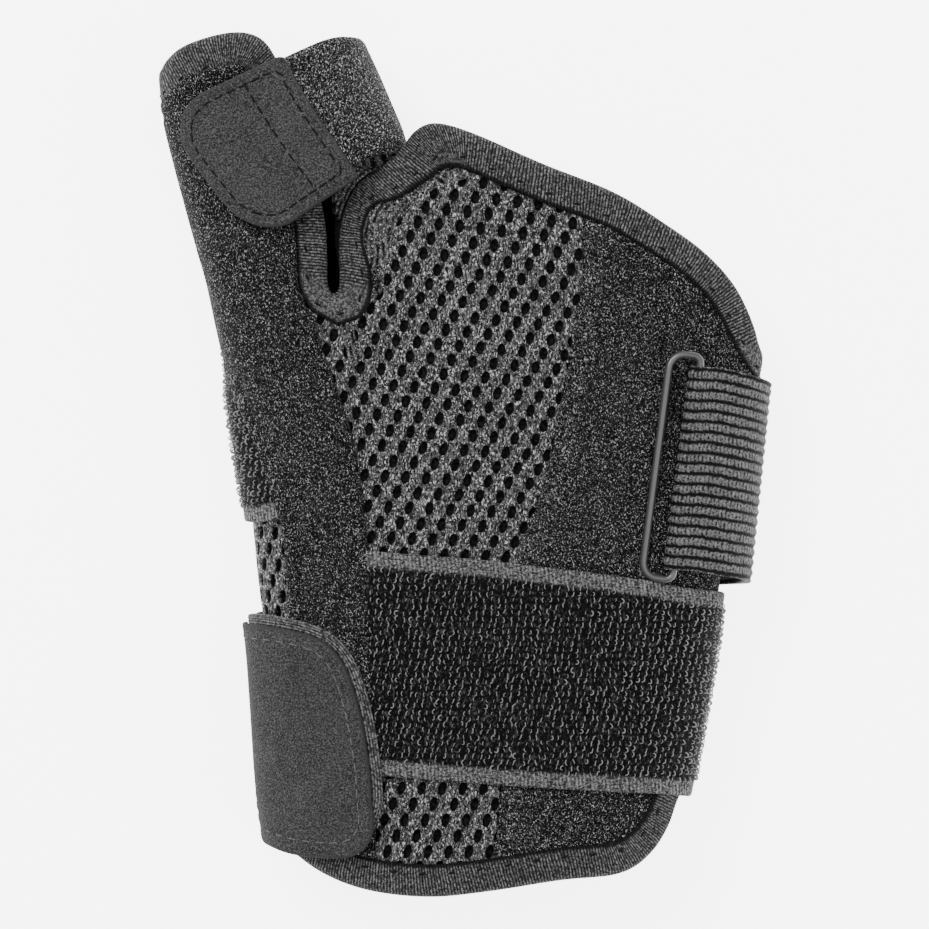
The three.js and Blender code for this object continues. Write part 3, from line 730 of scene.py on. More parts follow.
felt = feltFinish(feltTones)

yarnTones = {"dark": 0.0008, "yarn": 0.068, "light": 0.46, "strand": 0.9, "spark": 0.7}


def yarnFinish(tones):  # the mesh's face, with painted shade darkening it down in its cells
    f = Finish("knitted_mesh", roughness=0.7, specular=0.15)
    at = f.place("Object")
    strand, ground = speckle(f, at, tones["strand"], (2.2, 1, 1), 0.35, 0.46, 0.57)
    spark, _ = speckle(f, at, tones["spark"], (2.0, 1, 1), -0.3, 0.55, 0.66)
    # painted shade: the yarn colour and its light flecks darken down the cell walls, by the tile's height
    paintedCellShade = f.attribute("rise").step(-0.5, 0.05) * 0.85 + 0.15
    wear = f.noise(at, 20, 2)
    base = f.mix(strand * (wear * 0.6 + 0.6) * paintedCellShade, grey(tones["dark"]), grey(tones["yarn"]))
    return f.done(f.mix(spark * paintedCellShade, base, grey(tones["light"])), ground, 0.3, 1.0)


knittedMesh = yarnFinish(yarnTones)

gatherTones = {"dark": 0.0008, "yarn": 0.1, "light": 0.4, "fibre": 0.7, "spark": 0.5}


def gatheredFinish(tones):
    f = Finish("gathered_mesh", roughness=0.8, specular=0.08)
    at = f.place("Object")
    groove = f.attribute("groove")
    fibre, ground = speckle(f, at, tones["fibre"], (1.6, 1, 1), 0.5, 0.42, 0.6)
    spark, _ = speckle(f, at, tones["spark"], (1, 1.4, 1), 0.9, 0.56, 0.66)
    # painted shade: the colour falls to dark in the grooves between the ribs, and the light flecks are painted only on
    # the rib tops
    base = f.mix(groove.step(0.25, 0.8) * (fibre * 0.7 + 0.15), grey(tones["dark"]), grey(tones["yarn"]))
    return f.done(f.mix(spark * groove, base, grey(tones["light"])), groove + ground * 0.4, 0.4, 0.8)


gatheredMesh = gatheredFinish(gatherTones)


def groundFinish():  # the mesh's dark inner layer
    f = Finish("mesh_ground", roughness=0.9, specular=0.05)
    fine = f.noise(f.place("UV"), 0.9, 2)
    return f.done(f.colours(fine, [(0.4, grey(0.002)), (0.7, grey(0.012))]), fine, 0.3, 0.7)


meshGround = groundFinish()

tapeTones = {"dark": 0.0006, "light": 0.145, "seam": 0.002, "pitch": 0.7, "grain": 0.55, "seamAt": 7.2}


def tapeFinish(tones):  # ribs lie across the tape, which runs along u
    f = Finish("binding_tape", roughness=0.85, specular=0.08)
    at = f.place("UV")
    u, v, _ = f.split(at)
    rib = waves(u * (perMm / tones["pitch"]) + v * 900 + f.noise(at, 2.2, 2) * 5)
    grain, _ = speckle(f, f.place("Object"), tones["grain"], (1, 1, 1), 0.3, 0.42, 0.62)
    wear = f.noise(at, 9, 2)
    fan = f.attribute("fan").step(1.25, 1.8)  # where the tape spreads round a corner its ribs run together
    across = rib.step(0.05, 0.85) * (1 - fan) + fan * 0.7
    level = (across * 0.88 + 0.12) * (grain * 0.85 + 0.15)
    colour = f.mix(level * (wear * 0.6 + 0.65), grey(tones["dark"]), grey(tones["light"]))
    seam = (v * 1000).step(tones["seamAt"] - 0.9, tones["seamAt"] - 0.2)
    return f.done(f.mix(seam * 0.9, colour, grey(tones["seam"])), rib * 0.7 + grain * 0.4, 0.25, 0.8)


bindingTape = tapeFinish(tapeTones)

backingTones = {"dark": 0.001, "light": 0.19, "cord": 0.62, "grain": 0.6}


def backingFinish(tones):  # fine cords lie along the tab's edge
    f = Finish("ribbed_elastic", roughness=0.8, specular=0.1)
    at = f.place("Object")
    cord = waves(f.attribute("edge") * (2 * math.pi / tones["cord"]) + f.noise(at, 1.5, 2) * 1.5)
    grain, _ = speckle(f, at, tones["grain"], (1, 1, 1), 0.3, 0.42, 0.62)
    level = (cord * 0.75 + 0.25) * (grain * 0.8 + 0.1)
    return f.done(f.mix(level, grey(tones["dark"]), grey(tones["light"])), cord, 0.2, 0.8)


backing = backingFinish(backingTones)

webbingTones = {"dark": 0.001, "light": 0.155, "rib": 2.25, "pick": 1.05, "grain": 0.55}


def webbingFinish(tones):  # heavy ribs run along the webbing, with the weave's slanting picks on them
    f = Finish("ribbed_webbing", roughness=0.8, specular=0.1)
    at = f.place("UV")
    u, v, _ = f.split(at)
    shifted = v + (f.noise(at, 1.6, 2) - 0.5) * 0.0009
    ridge = ((shifted * (perMm / tones["rib"])).maths("COSINE") + 1) * 0.5
    slant = abs((v * (perMm / 2 / tones["rib"])).sine()) * 4
    pick = waves(u * (perMm / tones["pick"]) + slant + f.noise(at, 1.5, 2) * 5)
    grain, _ = speckle(f, f.place("Object"), tones["grain"], (1, 1, 1), 0.2, 0.42, 0.6)
    # painted shade: the colour falls to near black in the grooves between the ribs, on top of their real relief
    level = ridge.step(0.02, 0.55) * (pick * 0.4 + grain * 0.55)
    height = ridge * 0.8 + pick * 0.35 + grain * 0.3
    return f.done(f.mix(level, grey(tones["dark"]), grey(tones["light"])), height, 0.22, 0.7)


elastic = webbingFinish(webbingTones)

strapTones = {"dark": 0.001, "pile": 0.035, "selvage": 0.21, "fibre": 0.8, "rib": 0.86, "grain": 0.6}


def strapFinish(tones):  # pile between two ribbed selvages, by the distance in from the strap's edge
    f = Finish("loop_pile", roughness=0.85, specular=0.08)
    at = f.place("UV")
    u, _, _ = f.split(at)
    spot = f.place("Object")
    fibre, ground = speckle(f, spot, tones["fibre"], (1.6, 1, 1), 0.25, 0.52, 0.64)
    rib = waves(u * (perMm / tones["rib"]) + f.noise(at, 2.2, 2) * 5)
    grain, _ = speckle(f, spot, tones["grain"], (1, 1.4, 1), 0.1, 0.42, 0.6)
    selvage = 1 - (f.attribute("selvage") + f.noise(at, 1.2, 2) * 1.2).step(3.6, 4.6)
    ribbed = f.mix((rib * 0.55 + 0.45) * (grain * 0.85 + 0.1), grey(tones["dark"]), grey(tones["selvage"]))
    pile = f.mix(fibre, grey(tones["dark"]), grey(tones["pile"]))
    return f.done(f.mix(selvage, pile, ribbed), ground + rib * selvage * 0.6, 0.4, 0.9)


loopPile = strapFinish(strapTones)


def plainFinish(name, level, roughness, specular):
    f = Finish(name, roughness, specular)
    fine = f.noise(f.place("Object"), 0.5, 2)
    return f.done(f.colours(fine, [(0.3, grey(level * 0.8)), (0.7, grey(level * 1.2))]))


thread = plainFinish("thread", 0.004, 0.8, 0.1)
feltThread = plainFinish("felt_thread", 0.004, 0.8, 0.1)
dimThread = plainFinish("dim_thread", 0.085, 0.8, 0.1)
loopThread = plainFinish("pile_loops", 0.165, 0.5, 0.35)
wire = plainFinish("painted_wire", 0.028, 0.3, 0.6)

print("finishes made")

# The wall's outline, laid flat


def rightSide(low, high, behind=False):
    y = np.linspace(low, high, 50)
    s = sleeve.reach(y, np.full(50, float(sleeve.half)))
    return np.stack([s - (sleeve.girthAt(y) if behind else 0), y], 1)


wristLine, fingerLine = placed(wristEdge), placed(fingerEdge)
slitLine, webLine, tipLine = placed(slitEdge), placed(backWebEdge), placed(thumbTipEdge)
frontTop = np.vstack([over(sleeve, fingerLine), slitLine, over(sleeve, tipLine)])
backTop = np.vstack([over(sleeve, fingerLine), webLine, over(sleeve, tipLine)])
wristIn = over(sleeve, wristLine)


def wallOutline():
    front, frontWrist = onFront(sleeve, frontTop), onFront(sleeve, wristIn)
    back, backWrist = onBack(sleeve, backTop), onBack(sleeve, wristIn)
    rightFront = rightSide(frontWrist[-1, 1], front[0, 1])
    rightBack = rightSide(backWrist[-1, 1], back[0, 1], behind=True)
    return np.vstack([frontWrist, rightFront[1:-1], front, back[::-1], rightBack[::-1][1:-1], backWrist[::-1]])


wallField = Field((-175, -4), (190, 202), distanceInside(wallOutline()))
seamFront = onFront(sleeve, over(sleeve, placed([
    (0.72, 1.0), (0.708, 0.735), (0.694, 0.656), (0.668, 0.551), (0.637, 0.458), (0.607, 0.396), (0.591, 0.248),
    (0.575, 0.12), (0.554, -0.015)])))
backSeam = over(sleeve, placed([(0.86, 1.0), (0.8, 0.5), (0.7, -0.015)]))
leftOfFrontSeam, leftOfBackSeam = beside(seamFront), beside(onBack(sleeve, backSeam), flip=True)
print("wall's outline worked out")


def show(piece, node, body="splint"):
    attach(piece, body)
    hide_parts(node)
    return piece


# Mesh half of the sleeve: a knitted face with oval holes over a dark ground
meshLook = {"pitch": 4.6, "row": 3.55, "holeWidth": 1.95, "holeHeight": 3.15, "slant": 0.28, "lean": 0.114,
            "leanFrom": (20, 120), "leanOver": (55, 90), "halfReach": 150, "length": 210, "thickness": 1.15,
            "wallIn": -3.0, "wallOut": -1.5, "under": (4.0, 5.0, 5.0)}

meshRegion = Field((-175, -4), (150, 202), lambda s, y: np.minimum.reduce([
    wallField(s, y) - 1.5, leftOfFrontSeam(s, y), leftOfBackSeam(s, y)]))
show(clothPatch("mesh_ground", sleeve, meshRegion, meshLook["wallIn"], meshLook["wallOut"], meshGround,
                step=2.5, inner=3.0, roll=0), "mesh_sleeve")


def holeTile(look):  # one cell of the mesh, with points where its neighbours' corners fall
    w, h = look["pitch"] / 2, look["row"] / 2
    edge = [(-w, -h), (-w / 2, -h), (0, -h), (w / 2, -h), (w, -h), (w, 0)]
    edge = np.array(edge + [(-x, -y) for x, y in edge])
    angle = np.arctan2(edge[:, 1] / h, edge[:, 0] / w)
    pointed = np.sign(np.cos(angle)) * np.abs(np.cos(angle)) ** 1.3
    rim = np.stack([pointed * look["holeWidth"] / 2, np.sin(angle) * look["holeHeight"] / 2], 1)
    rim[:, 0] += rim[:, 1] * look["slant"]
    middle = 0.5 * edge + 0.5 * rim
    rings = [(edge, -0.12), (middle, 0.12), (0.86 * rim + 0.14 * middle, -0.12), (rim * 0.97, -0.5),
             (rim * 1.05, -look["thickness"])]
    points = np.vstack([np.column_stack([ring, np.full(len(edge), z)]) for ring, z in rings])
    return points, tubeFaces(len(rings), len(edge))


def nodeTree(name, inputs):
    tree = bpy.data.node_groups.new(name, "GeometryNodeTree")
    tree.interface.new_socket("Geometry", in_out="INPUT", socket_type="NodeSocketGeometry")
    for key, kind, value in inputs:
        socket = tree.interface.new_socket(key, in_out="INPUT", socket_type=kind)
        if value is not None:
            socket.default_value = value
    tree.interface.new_socket("Geometry", in_out="OUTPUT", socket_type="NodeSocketGeometry")
    start, end = tree.nodes.new("NodeGroupInput"), tree.nodes.new("NodeGroupOutput")

    def add(kind, settings=None, values=None):
        node = tree.nodes.new(kind)
        for key, value in (settings or {}).items():
            setattr(node, key, value)
        for key, value in (values or {}).items():
            if isinstance(value, bpy.types.NodeSocket):
                tree.links.new(value, node.inputs[key])
            else:
                node.inputs[key].default_value = value
        return node

    return tree, start, end, add


def repeatTree():  # sets one shape on every point, turned to the point's own directions
    tree, start, end, add = nodeTree("setAlong", [
        ("Shape", "NodeSocketObject", None), ("Material", "NodeSocketMaterial", None),
        ("Join within", "NodeSocketFloat", 0.0)])
    points = add("GeometryNodeMeshToPoints", {}, {"Mesh": start.outputs["Geometry"]})
    up = add("GeometryNodeInputNamedAttribute", {"data_type": "FLOAT_VECTOR"}, {"Name": "up"})
    along = add("GeometryNodeInputNamedAttribute", {"data_type": "FLOAT_VECTOR"}, {"Name": "along"})
    grow = add("GeometryNodeInputNamedAttribute", {"data_type": "FLOAT"}, {"Name": "grow"})
    turn = add("FunctionNodeAxesToRotation", {}, {
        "Primary Axis": up.outputs["Attribute"], "Secondary Axis": along.outputs["Attribute"]})
    shape = add("GeometryNodeObjectInfo", {}, {"Object": start.outputs["Shape"]})
    copies = add("GeometryNodeInstanceOnPoints", {}, {
        "Points": points.outputs[0], "Instance": shape.outputs["Geometry"], "Rotation": turn.outputs[0],
        "Scale": grow.outputs["Attribute"]})
    real = add("GeometryNodeRealizeInstances", {}, {0: copies.outputs[0]})
    joined = add("GeometryNodeMergeByDistance", {}, {
        "Geometry": real.outputs[0], "Distance": start.outputs["Join within"]})
    painted = add("GeometryNodeSetMaterial", {}, {
        "Geometry": joined.outputs[0], "Material": start.outputs["Material"]})
    tree.links.new(painted.outputs[0], end.inputs[0])
    return tree


setAlong = repeatTree()


def repeated(name, points, ups, alongs, grow, tile, material, joinWithin=0.0, world=True):
    shape = flatObject("repeated_shape", *tile)
    carrier = flatObject(name, toWorld(points) if world else points, [])
    for key, values in (("up", ups), ("along", alongs)):
        layer = carrier.data.attributes.new(key, "FLOAT_VECTOR", "POINT")
        layer.data.foreach_set("vector", np.broadcast_to(np.asarray(values, float), (len(points), 3)).ravel())
    setValues(carrier.data, "grow", np.broadcast_to(grow, (len(points),)))
    modifier = carrier.modifiers.new("repeat", "NODES")
    modifier.node_group = setAlong
    named = {item.name: item.identifier for item in setAlong.interface.items_tree if item.in_out == "INPUT"}
    modifier[named["Shape"]] = shape
    modifier[named["Material"]] = material
    modifier[named["Join within"]] = joinWithin
    bpy.context.view_layer.update()
    result = bpy.data.meshes.new_from_object(carrier.evaluated_get(bpy.context.evaluated_depsgraph_get()))
    bpy.data.objects.remove(carrier)
    bpy.data.objects.remove(shape)
    result.polygons.foreach_set("use_smooth", [True] * len(result.polygons))
    return linked(name, result)


def lattice(look, region, covers):  # the cells that show, and the rule that leans their rows
    w, h = look["pitch"], look["row"]
    across = np.arange(-look["halfReach"], look["halfReach"], w)
    centres = np.array([(a, k * h) for k in range(-2, int(look["length"] / h)) for a in across + (k % 2) * w / 2])
    (a0, b0), (start, span) = look["leanFrom"], look["leanOver"]

    def bend(a, b):
        lean = look["lean"] * np.clip((b - start) / span, 0, 1)
        return a + lean * (b - b0) * 0.8, b - lean * (a - a0) * np.where(a > -20, 1, 0)

    s, y = bend(*centres.T)
    good = (region(s, y) > 0.4) & (wallField(s, y) > 3.4)
    for cover, margin in covers:
        good &= ~(cover(s, y) > margin)
    return centres[good], bend


def makeMeshFace():
    covers = zip((stayField, wristField, tabField), meshLook["under"])
    centres, bend = lattice(meshLook, meshRegion, covers)
    flat = repeated("mesh_face", np.column_stack([centres, np.zeros(len(centres))]), (0, 0, 1), (1, 0, 0), 1.0,
                    holeTile(meshLook), knittedMesh, joinWithin=0.02, world=False)
    mesh = flat.data
    p = np.empty(3 * len(mesh.vertices))
    mesh.vertices.foreach_get("co", p)
    p = p.reshape(-1, 3)
    line = np.stack(bend(p[:, 0], p[:, 1]), 1)
    # the tile's height, which the mesh finish reads for its painted shade down in the cells
    setValues(mesh, "rise", p[:, 2])
    mesh.vertices.foreach_set("co", toWorld(sleeve.place(line, p[:, 2])).ravel())
    setUv(mesh, line)
    mesh.update()
    print("mesh face:", len(mesh.polygons), "faces")
    return show(flat, "mesh_sleeve")


# Beside the slit the mesh is drawn up into fine ribs that hide its holes
gatherLook = {"reach": 5.0, "width": 8.5, "behind": 3, "fromEdge": 3.5, "rib": 1.3, "low": -1.2, "high": 0.22,
              "depth": 0.35, "gussetLow": -3.2, "gussetHigh": -1.3}
slitRight = slitLine[: int(np.argmin(slitLine[:, 1])) + 1]
fromSlit = beside(onFront(sleeve, slitRight[slitRight[:, 1] > slitRight[:, 1].min() + 6]), flip=True)


def gatherGroove(s, y):  # 1 along the top of a rib, 0 between two
    return 0.5 + 0.5 * np.cos(2 * np.pi * fromSlit(s, y) / gatherLook["rib"] + 0.5 * np.sin(y * 0.9))


def gatherRule(s, y):
    share = y / size["length"]
    wide = np.interp(share, [0.665, 0.7, 0.78, 0.84, 0.88], [-0.6, 0.4, 0.9, 1, 0.75])
    far = gatherLook["reach"] + gatherLook["width"] * wide
    return np.minimum.reduce([
        wallField(s, y) - gatherLook["fromEdge"], far - fromSlit(s, y), fromSlit(s, y) + gatherLook["behind"]])


def gathered(name, field, low, high, inner, roll):
    # the rib profile also goes to the finish as groove, for its painted shade between the ribs
    show(clothPatch(name, sleeve, field, low, high, gatheredMesh, step=0.8, inner=inner, roll=roll,
                    relief=lambda s, y, edge: gatherLook["depth"] * (gatherGroove(s, y) - 1),
                    values={"groove": gatherGroove}), "mesh_sleeve")


gathered("mesh_gather", Field((30, 120), (85, 190), gatherRule), gatherLook["low"], gatherLook["high"], 0.6, 0.5)
gussetPlan = placed([
    (0.298, 0.79), (0.295, 0.825), (0.318, 0.856), (0.388, 0.868), (0.396, 0.854), (0.363, 0.825), (0.334, 0.79),
    (0.318, 0.766)])
gathered("slit_gusset", Field((30, 130), (90, 190), distanceInside(onFront(sleeve, gussetPlan))),
         gatherLook["gussetLow"], gatherLook["gussetHigh"], 0.7, 0.4)

# Stay panel: velour up the sleeve's left side and over the front of its thumb tube
stayLook = {"low": 0.3, "high": 2.3, "seamIn": 3.9, "seamDepth": 0.5, "seamHalf": 0.55, "fromEdge": 7.4, "root": 3,
            "tipDip": 1.1, "rightTop": 0.7, "leftTop": 0.657, "cornerFrom": 0.64, "cornerAt": 0.652, "slitSide": 0.3}
stayRight = onFront(sleeve, placed([
    (0.262, 0.73), (0.262, 0.656), (0.29, 0.598), (0.318, 0.54), (0.334, 0.481), (0.345, 0.411), (0.35, 0.341),
    (0.355, 0.225), (0.36, 0.01)]))
stayLeft = onFront(sleeve, placed([
    (0.238, 0.01), (0.226, 0.225), (0.221, 0.324), (0.213, 0.411), (0.2, 0.452), (0.171, 0.516), (0.135, 0.586),
    (0.11, 0.645)]))
leftOfStayRight, rightOfStayLeft = beside(stayRight), beside(stayLeft, flip=True)
free = 50  # a limit too far off to count


def stayRule(s, y):
    look, length = stayLook, size["length"]
    right = np.where(y < look["rightTop"] * length, leftOfStayRight(s, y), free)
    corner = np.where(y > look["cornerFrom"] * length, np.where(s < 6, y - look["cornerAt"] * length, free), -free)
    left = np.where(y < look["leftTop"] * length, np.maximum(rightOfStayLeft(s, y), corner), free)
    slitSide = np.where(y > look["rightTop"] * length, look["slitSide"] * size["width"] + 6 - s, free)
    return np.minimum.reduce([wallField(s, y) - look["fromEdge"], right, left, s + look["root"], slitSide])


stayField = Field((-20, -4), (110, 202), stayRule)


# Straps: the distance from a line along the middle
def bandRule(front, back, behindNegative=False):
    line = np.vstack([onFront(sleeve, over(sleeve, placed(front, 6))),
                      onBack(sleeve, over(sleeve, placed(back, 6)), fromRight=not behindNegative)])
    line = line[np.argsort(line[:, 0])]
    k, v = line[:, 0], smoothed(line[:, 1], 6)
    slope = np.gradient(v, k)
    return lambda s, y: (y - np.interp(s, k, v)) / np.sqrt(1 + np.interp(s, k, slope) ** 2)


strapLook = {"low": 0.3, "high": 1.9, "wristHalf": 24, "palmHalf": 21}
wristAcross = bandRule([(0.3, 0.279), (0.36, 0.272), (0.56, 0.26), (0.72, 0.25), (0.9, 0.239), (1.1, 0.232)],
                       [(1.1, 0.232), (0.5, 0.22), (-0.1, 0.19)])
wristWidths = np.array([
    (35, 1.05), (60, 1.05), (85, 1.02), (105, 0.98), (135, 0.92), (165, 0.9), (220, 0.98), (300, 1)]).T


def wristSelvage(s, y):
    return strapLook["wristHalf"] * np.interp(s, *wristWidths) - np.abs(wristAcross(s, y))


wristField = Field((20, 10), (310, 85), lambda s, y: np.minimum.reduce([
    wristSelvage(s, y), 1 - leftOfStayRight(s, y), sleeve.girthAt(y) + 2 - s]))

tabPlan = placed([
    (0.129, 0.3205), (0.171, 0.3287), (0.233, 0.3228), (0.29, 0.3077), (0.3274, 0.2774), (0.3502, 0.2308),
    (0.3648, 0.1783), (0.373, 0.12), (0.368, 0.079), (0.3436, 0.0559), (0.3062, 0.0478), (0.2329, 0.0524),
    (0.1873, 0.0711), (0.1645, 0.1014), (0.1352, 0.1317)])


def tabOutline():  # what lies past the sleeve's left side in the plan goes round it
    i, _ = sleeve.rowOf(tabPlan[:, 1])
    left = sleeve.p[i, 0, 0]
    line = onFront(sleeve, np.stack([np.maximum(tabPlan[:, 0], left + 0.05), tabPlan[:, 1]], 1))
    line[:, 0] += np.minimum(tabPlan[:, 0] - left, 0) * 1.3
    return line


tabField = Field((-20, 2), (60, 72), distanceInside(tabOutline()))
makeMeshFace()


# Velour half: the same wall, followed round the right side
velourLook = {"low": -3.0, "high": 0.4, "lap": 0.3}


def outlineRoundRight():
    front, back = onFront(sleeve, frontTop), onBack(sleeve, backTop, fromRight=True)
    frontWrist, backWrist = onFront(sleeve, wristIn), onBack(sleeve, wristIn, fromRight=True)[::-1]
    hand = back[:, 1] < 0.9 * size["length"]
    back = back[: int(np.argmin(hand)) if not hand.all() else len(back)]
    return np.vstack([frontWrist[frontWrist[:, 0] > 25], backWrist[backWrist[:, 0] < 270],
                      back[back[:, 0] < 270][::-1], front[:len(over(sleeve, fingerLine))]])


velourWall = distanceInside(outlineRoundRight())
beforeBackSeam = beside(onBack(sleeve, backSeam, fromRight=True))
velourField = Field((40, -4), (230, 182), lambda s, y: np.minimum.reduce([
    velourWall(s, y) - 1.3, velourLook["lap"] - leftOfFrontSeam(s, y), velourLook["lap"] + beforeBackSeam(s, y)]))
show(clothPatch("velour_half", sleeve, velourField, velourLook["low"], velourLook["high"], velour,
                step=1.5, inner=2.2), "velour_panel")


def stayRelief(s, y, edge):  # a sewn groove inside the edge, and a dip where the tip's tape crosses
    groove = stayLook["seamDepth"] * np.exp(-((edge - stayLook["seamIn"]) / stayLook["seamHalf"]) ** 2)
    return -groove - stayLook["tipDip"] * np.clip((y - 146) / 20, 0, 1) * np.clip((14 - s) / 14, 0, 1)


show(clothPatch("stay_velour", sleeve, stayField, stayLook["low"], stayLook["high"], velour,
                step=1.0, inner=1.0, roll=1.2, relief=stayRelief), "stay_panel")

# Fuzzy seam between mesh and velour
seamLook = {"halfWidth": 2.3, "wander": 0.35, "low": 0.15, "high": 0.62}
seamField = Field((40, -4), (130, 202), lambda s, y: np.minimum(
    seamLook["halfWidth"] + seamLook["wander"] * np.sin(y * 1.9) * np.cos(y * 0.7) - np.abs(leftOfFrontSeam(s, y)),
    wallField(s, y) - 1.6))
show(clothPatch("seam_strip", sleeve, seamField, seamLook["low"], seamLook["high"], seamFuzz,
                step=0.9, inner=1.3, roll=0.45), "velour_panel")


def strap(name, node, field, selvage):
    show(clothPatch(name, sleeve, field, strapLook["low"], strapLook["high"], loopPile,
                    step=1.5, inner=2.0, roll=0.6, values={"selvage": selvage}), node)


strap("wrist_strap_band", "wrist_strap", wristField, wristSelvage)

# Wrist tab: felt on an elastic backing that shows past its right edge
wristTabLook = {"corner": 4.5, "margin": 2.3, "wrap": 12, "stitchIn": 3.0, "backingLow": 2.6, "backingHigh": 3.6,
                "feltLow": 3.9, "feltHigh": 5.1}
tabInner = distanceInside(evenLoop(max(levelLoops(tabField, wristTabLook["corner"]), key=len), 0.8, 1))


def underFelt(s, y):  # 1 where the felt covers the backing's edge, on the left and at the foot
    return np.maximum(np.clip((4 - s) / wristTabLook["wrap"], 0, 1), np.clip((22 - y) / wristTabLook["wrap"], 0, 1))


def tabPart(share):  # the tab's outline, drawn in by the margin times a share
    return Field((-20, 2), (60, 72), lambda s, y: (
        tabInner(s, y) + wristTabLook["corner"] - wristTabLook["margin"] * share(s, y)))


feltField = tabPart(lambda s, y: 1 - underFelt(s, y))
show(clothPatch("wrist_tab_elastic", sleeve, tabPart(lambda s, y: 1.1 * underFelt(s, y)),
                wristTabLook["backingLow"], wristTabLook["backingHigh"], backing,
                step=1.2, inner=2.0, roll=0.4), "wrist_tab_backing")
show(clothPatch("wrist_felt", sleeve, feltField, wristTabLook["feltLow"], wristTabLook["feltHigh"], felt,
                step=1.0, inner=1.6, roll=0.6), "wrist_tab_felt")

# Palm strap: from behind the stay panel round the left side to the back
palmAcross = bandRule([(0.155, 0.543), (0.217, 0.573), (0.3, 0.608)], [(0.62, 0.508), (0.35, 0.528), (0.05, 0.55)],
                      behindNegative=True)


def palmSelvage(s, y):
    return strapLook["palmHalf"] - np.abs(palmAcross(s, y))


palmField = Field((-110, 60), (60, 135), lambda s, y: np.minimum.reduce([
    palmSelvage(s, y), 4 - rightOfStayLeft(s, y), s + 92, np.where(y > 128, -1, free)]))
strap("palm_strap_band", "palm_strap", palmField, palmSelvage)
print("flat pieces laid")

# Bindings: a tape folded over the sleeve's cut edges, all the way round
tapeLook = {"width": 7.5, "thickness": 0.9, "outer": 1.2, "inner": -4.2, "step": 1.3, "fingerWidth": 9.8,
            "tipWidth": 9.6, "slitWidth": 5.2}


def tapeProfile(look):  # distance in from the edge, and height over the wall's outer face
    w, out, inn, thick = look["width"], look["outer"], look["inner"], look["thickness"]
    mid = (out + inn) / 2
    return [(0.0, mid), (0.12, mid + 1.2), (0.55, out - 0.75), (1.3, out - 0.15), (2.4, out), (w - 1.6, out - 0.05),
            (w - 0.5, out - 0.25), (w, out - 0.6), (w - 0.2, out - thick), (1.6, out - thick), (1.0, mid + 0.8),
            (1.0, mid - 0.8), (1.6, inn + thick), (w - 0.2, inn + thick), (w, inn + 0.6), (w - 0.5, inn + 0.2),
            (2.4, inn), (1.3, inn + 0.15), (0.55, inn + 0.75), (0.12, mid - 1.2)]


def openingWidths(path):  # wider along the sleeve's front edge, narrow where it turns into the slit
    x, y = path[:, 0] / size["width"], path[:, 1] / size["length"]
    front = np.interp(x, [0.4, 0.46, 0.7, 1.0], [8.0, tapeLook["fingerWidth"], 9.2, 8.0])
    wide = np.where((x > 0.36) & (x < 1.1), front, tapeLook["width"])
    wide = np.where((y > 0.92) & (x < 0.32) & (path[:, 0] > -2), tapeLook["tipWidth"], wide)
    return smoothed(np.where((x > 0.292) & (x < 0.4) & (y < 0.83), tapeLook["slitWidth"], wide), 8)


def drawnUp(path, reach, tangent, step):  # where the tape turns a corner its inner edge gathers
    for _ in range(80):
        ahead = np.full(len(path), step)
        ahead[:-1] = np.einsum("ij,ij->i", reach[1:] - reach[:-1], tangent[:-1])
        tight = ahead < 0.3 * step
        tight[1:] |= tight[:-1].copy()
        tight[:-1] |= tight[1:].copy()
        if not tight.any():
            break
        eased = reach.copy()
        eased[1:-1] = (reach[:-2] + reach[2:]) / 2
        reach = np.where(tight[:, None], eased, reach)
    return reach


def lengths(line):
    return np.linalg.norm(np.gradient(line, axis=0), axis=1)


def edgeTape(name, node, line, toStart, widths=None):
    # line is (reach, y) round the sleeve, with the cloth on its left; toStart is the turn that closes it
    look = tapeLook
    line = evenly(line, look["step"])
    n, extra = len(line), 12
    before, after = line[-extra:].copy(), line[:extra].copy()
    before[:, 0] += toStart * sleeve.girthAt(before[:, 1])
    after[:, 0] -= toStart * sleeve.girthAt(after[:, 1])
    path = smoothed(np.vstack([before, line, after]), 2)
    tangent = np.gradient(path, axis=0)
    tangent /= np.linalg.norm(tangent, axis=1, keepdims=True) + 1e-9
    inward = smoothed(np.stack([-tangent[:, 1], tangent[:, 0]], 1), 3)
    inward /= np.linalg.norm(inward, axis=1, keepdims=True)
    reach = path + inward * (look["width"] if widths is None else widths(path)[:, None])
    reach = drawnUp(path, reach, tangent, look["step"])
    path, reach = path[extra:-extra], reach[extra:-extra]
    u = np.concatenate([[0], np.cumsum(np.linalg.norm(np.diff(path, axis=0), axis=1))])
    fan = smoothed(lengths(reach) / (lengths(path) + 1e-6), 2) - 1
    middle = (look["outer"] + look["inner"]) / 2
    rings, uvs, fans = [], [], []
    for f, t in tapeProfile(look):
        share = f / look["width"]
        rings.append(sleeve.place(path + (reach - path) * share, t))
        uvs.append(np.stack([u, np.full(n, f if t > middle else 20 + f)], 1))
        fans.append(1 + fan * min(share, 1))
    width = 2 * float(np.linalg.norm(reach - path, axis=1).mean()) + look["outer"] - look["inner"]
    cuts[name] = (width, float(u[-1]), None)
    piece = makeMesh(name, np.stack(rings, 1).reshape(-1, 3), tubeFaces(n, len(rings), closed=True), bindingTape,
                     np.stack(uvs, 1).reshape(-1, 2), {"fan": np.stack(fans, 1).ravel()})
    fixNormals(piece)
    show(piece, node)
    return path, reach


openTape = edgeTape("opening_tape", "opening_binding",
                    np.vstack([onFront(sleeve, frontTop), onBack(sleeve, backTop)[::-1]]), 1, openingWidths)
wristTape = edgeTape("wrist_tape", "wrist_binding",
                     np.vstack([onBack(sleeve, wristIn)[::-1], onFront(sleeve, wristIn)]), -1)
print("bindings swept")

# Stitches: short raised threads set along a line
stitchLook = {"edgeIn": 5.4, "edgeHeight": 1.12, "edgePitch": 6.4, "edgeLength": 1.5, "edgeRadius": 0.3, "turn": 0.25,
              "tabPitch": 2.9, "over": 0.02, "feltLength": 2.1, "feltRadius": 0.21, "dimLength": 1.9, "dimRadius": 0.13}


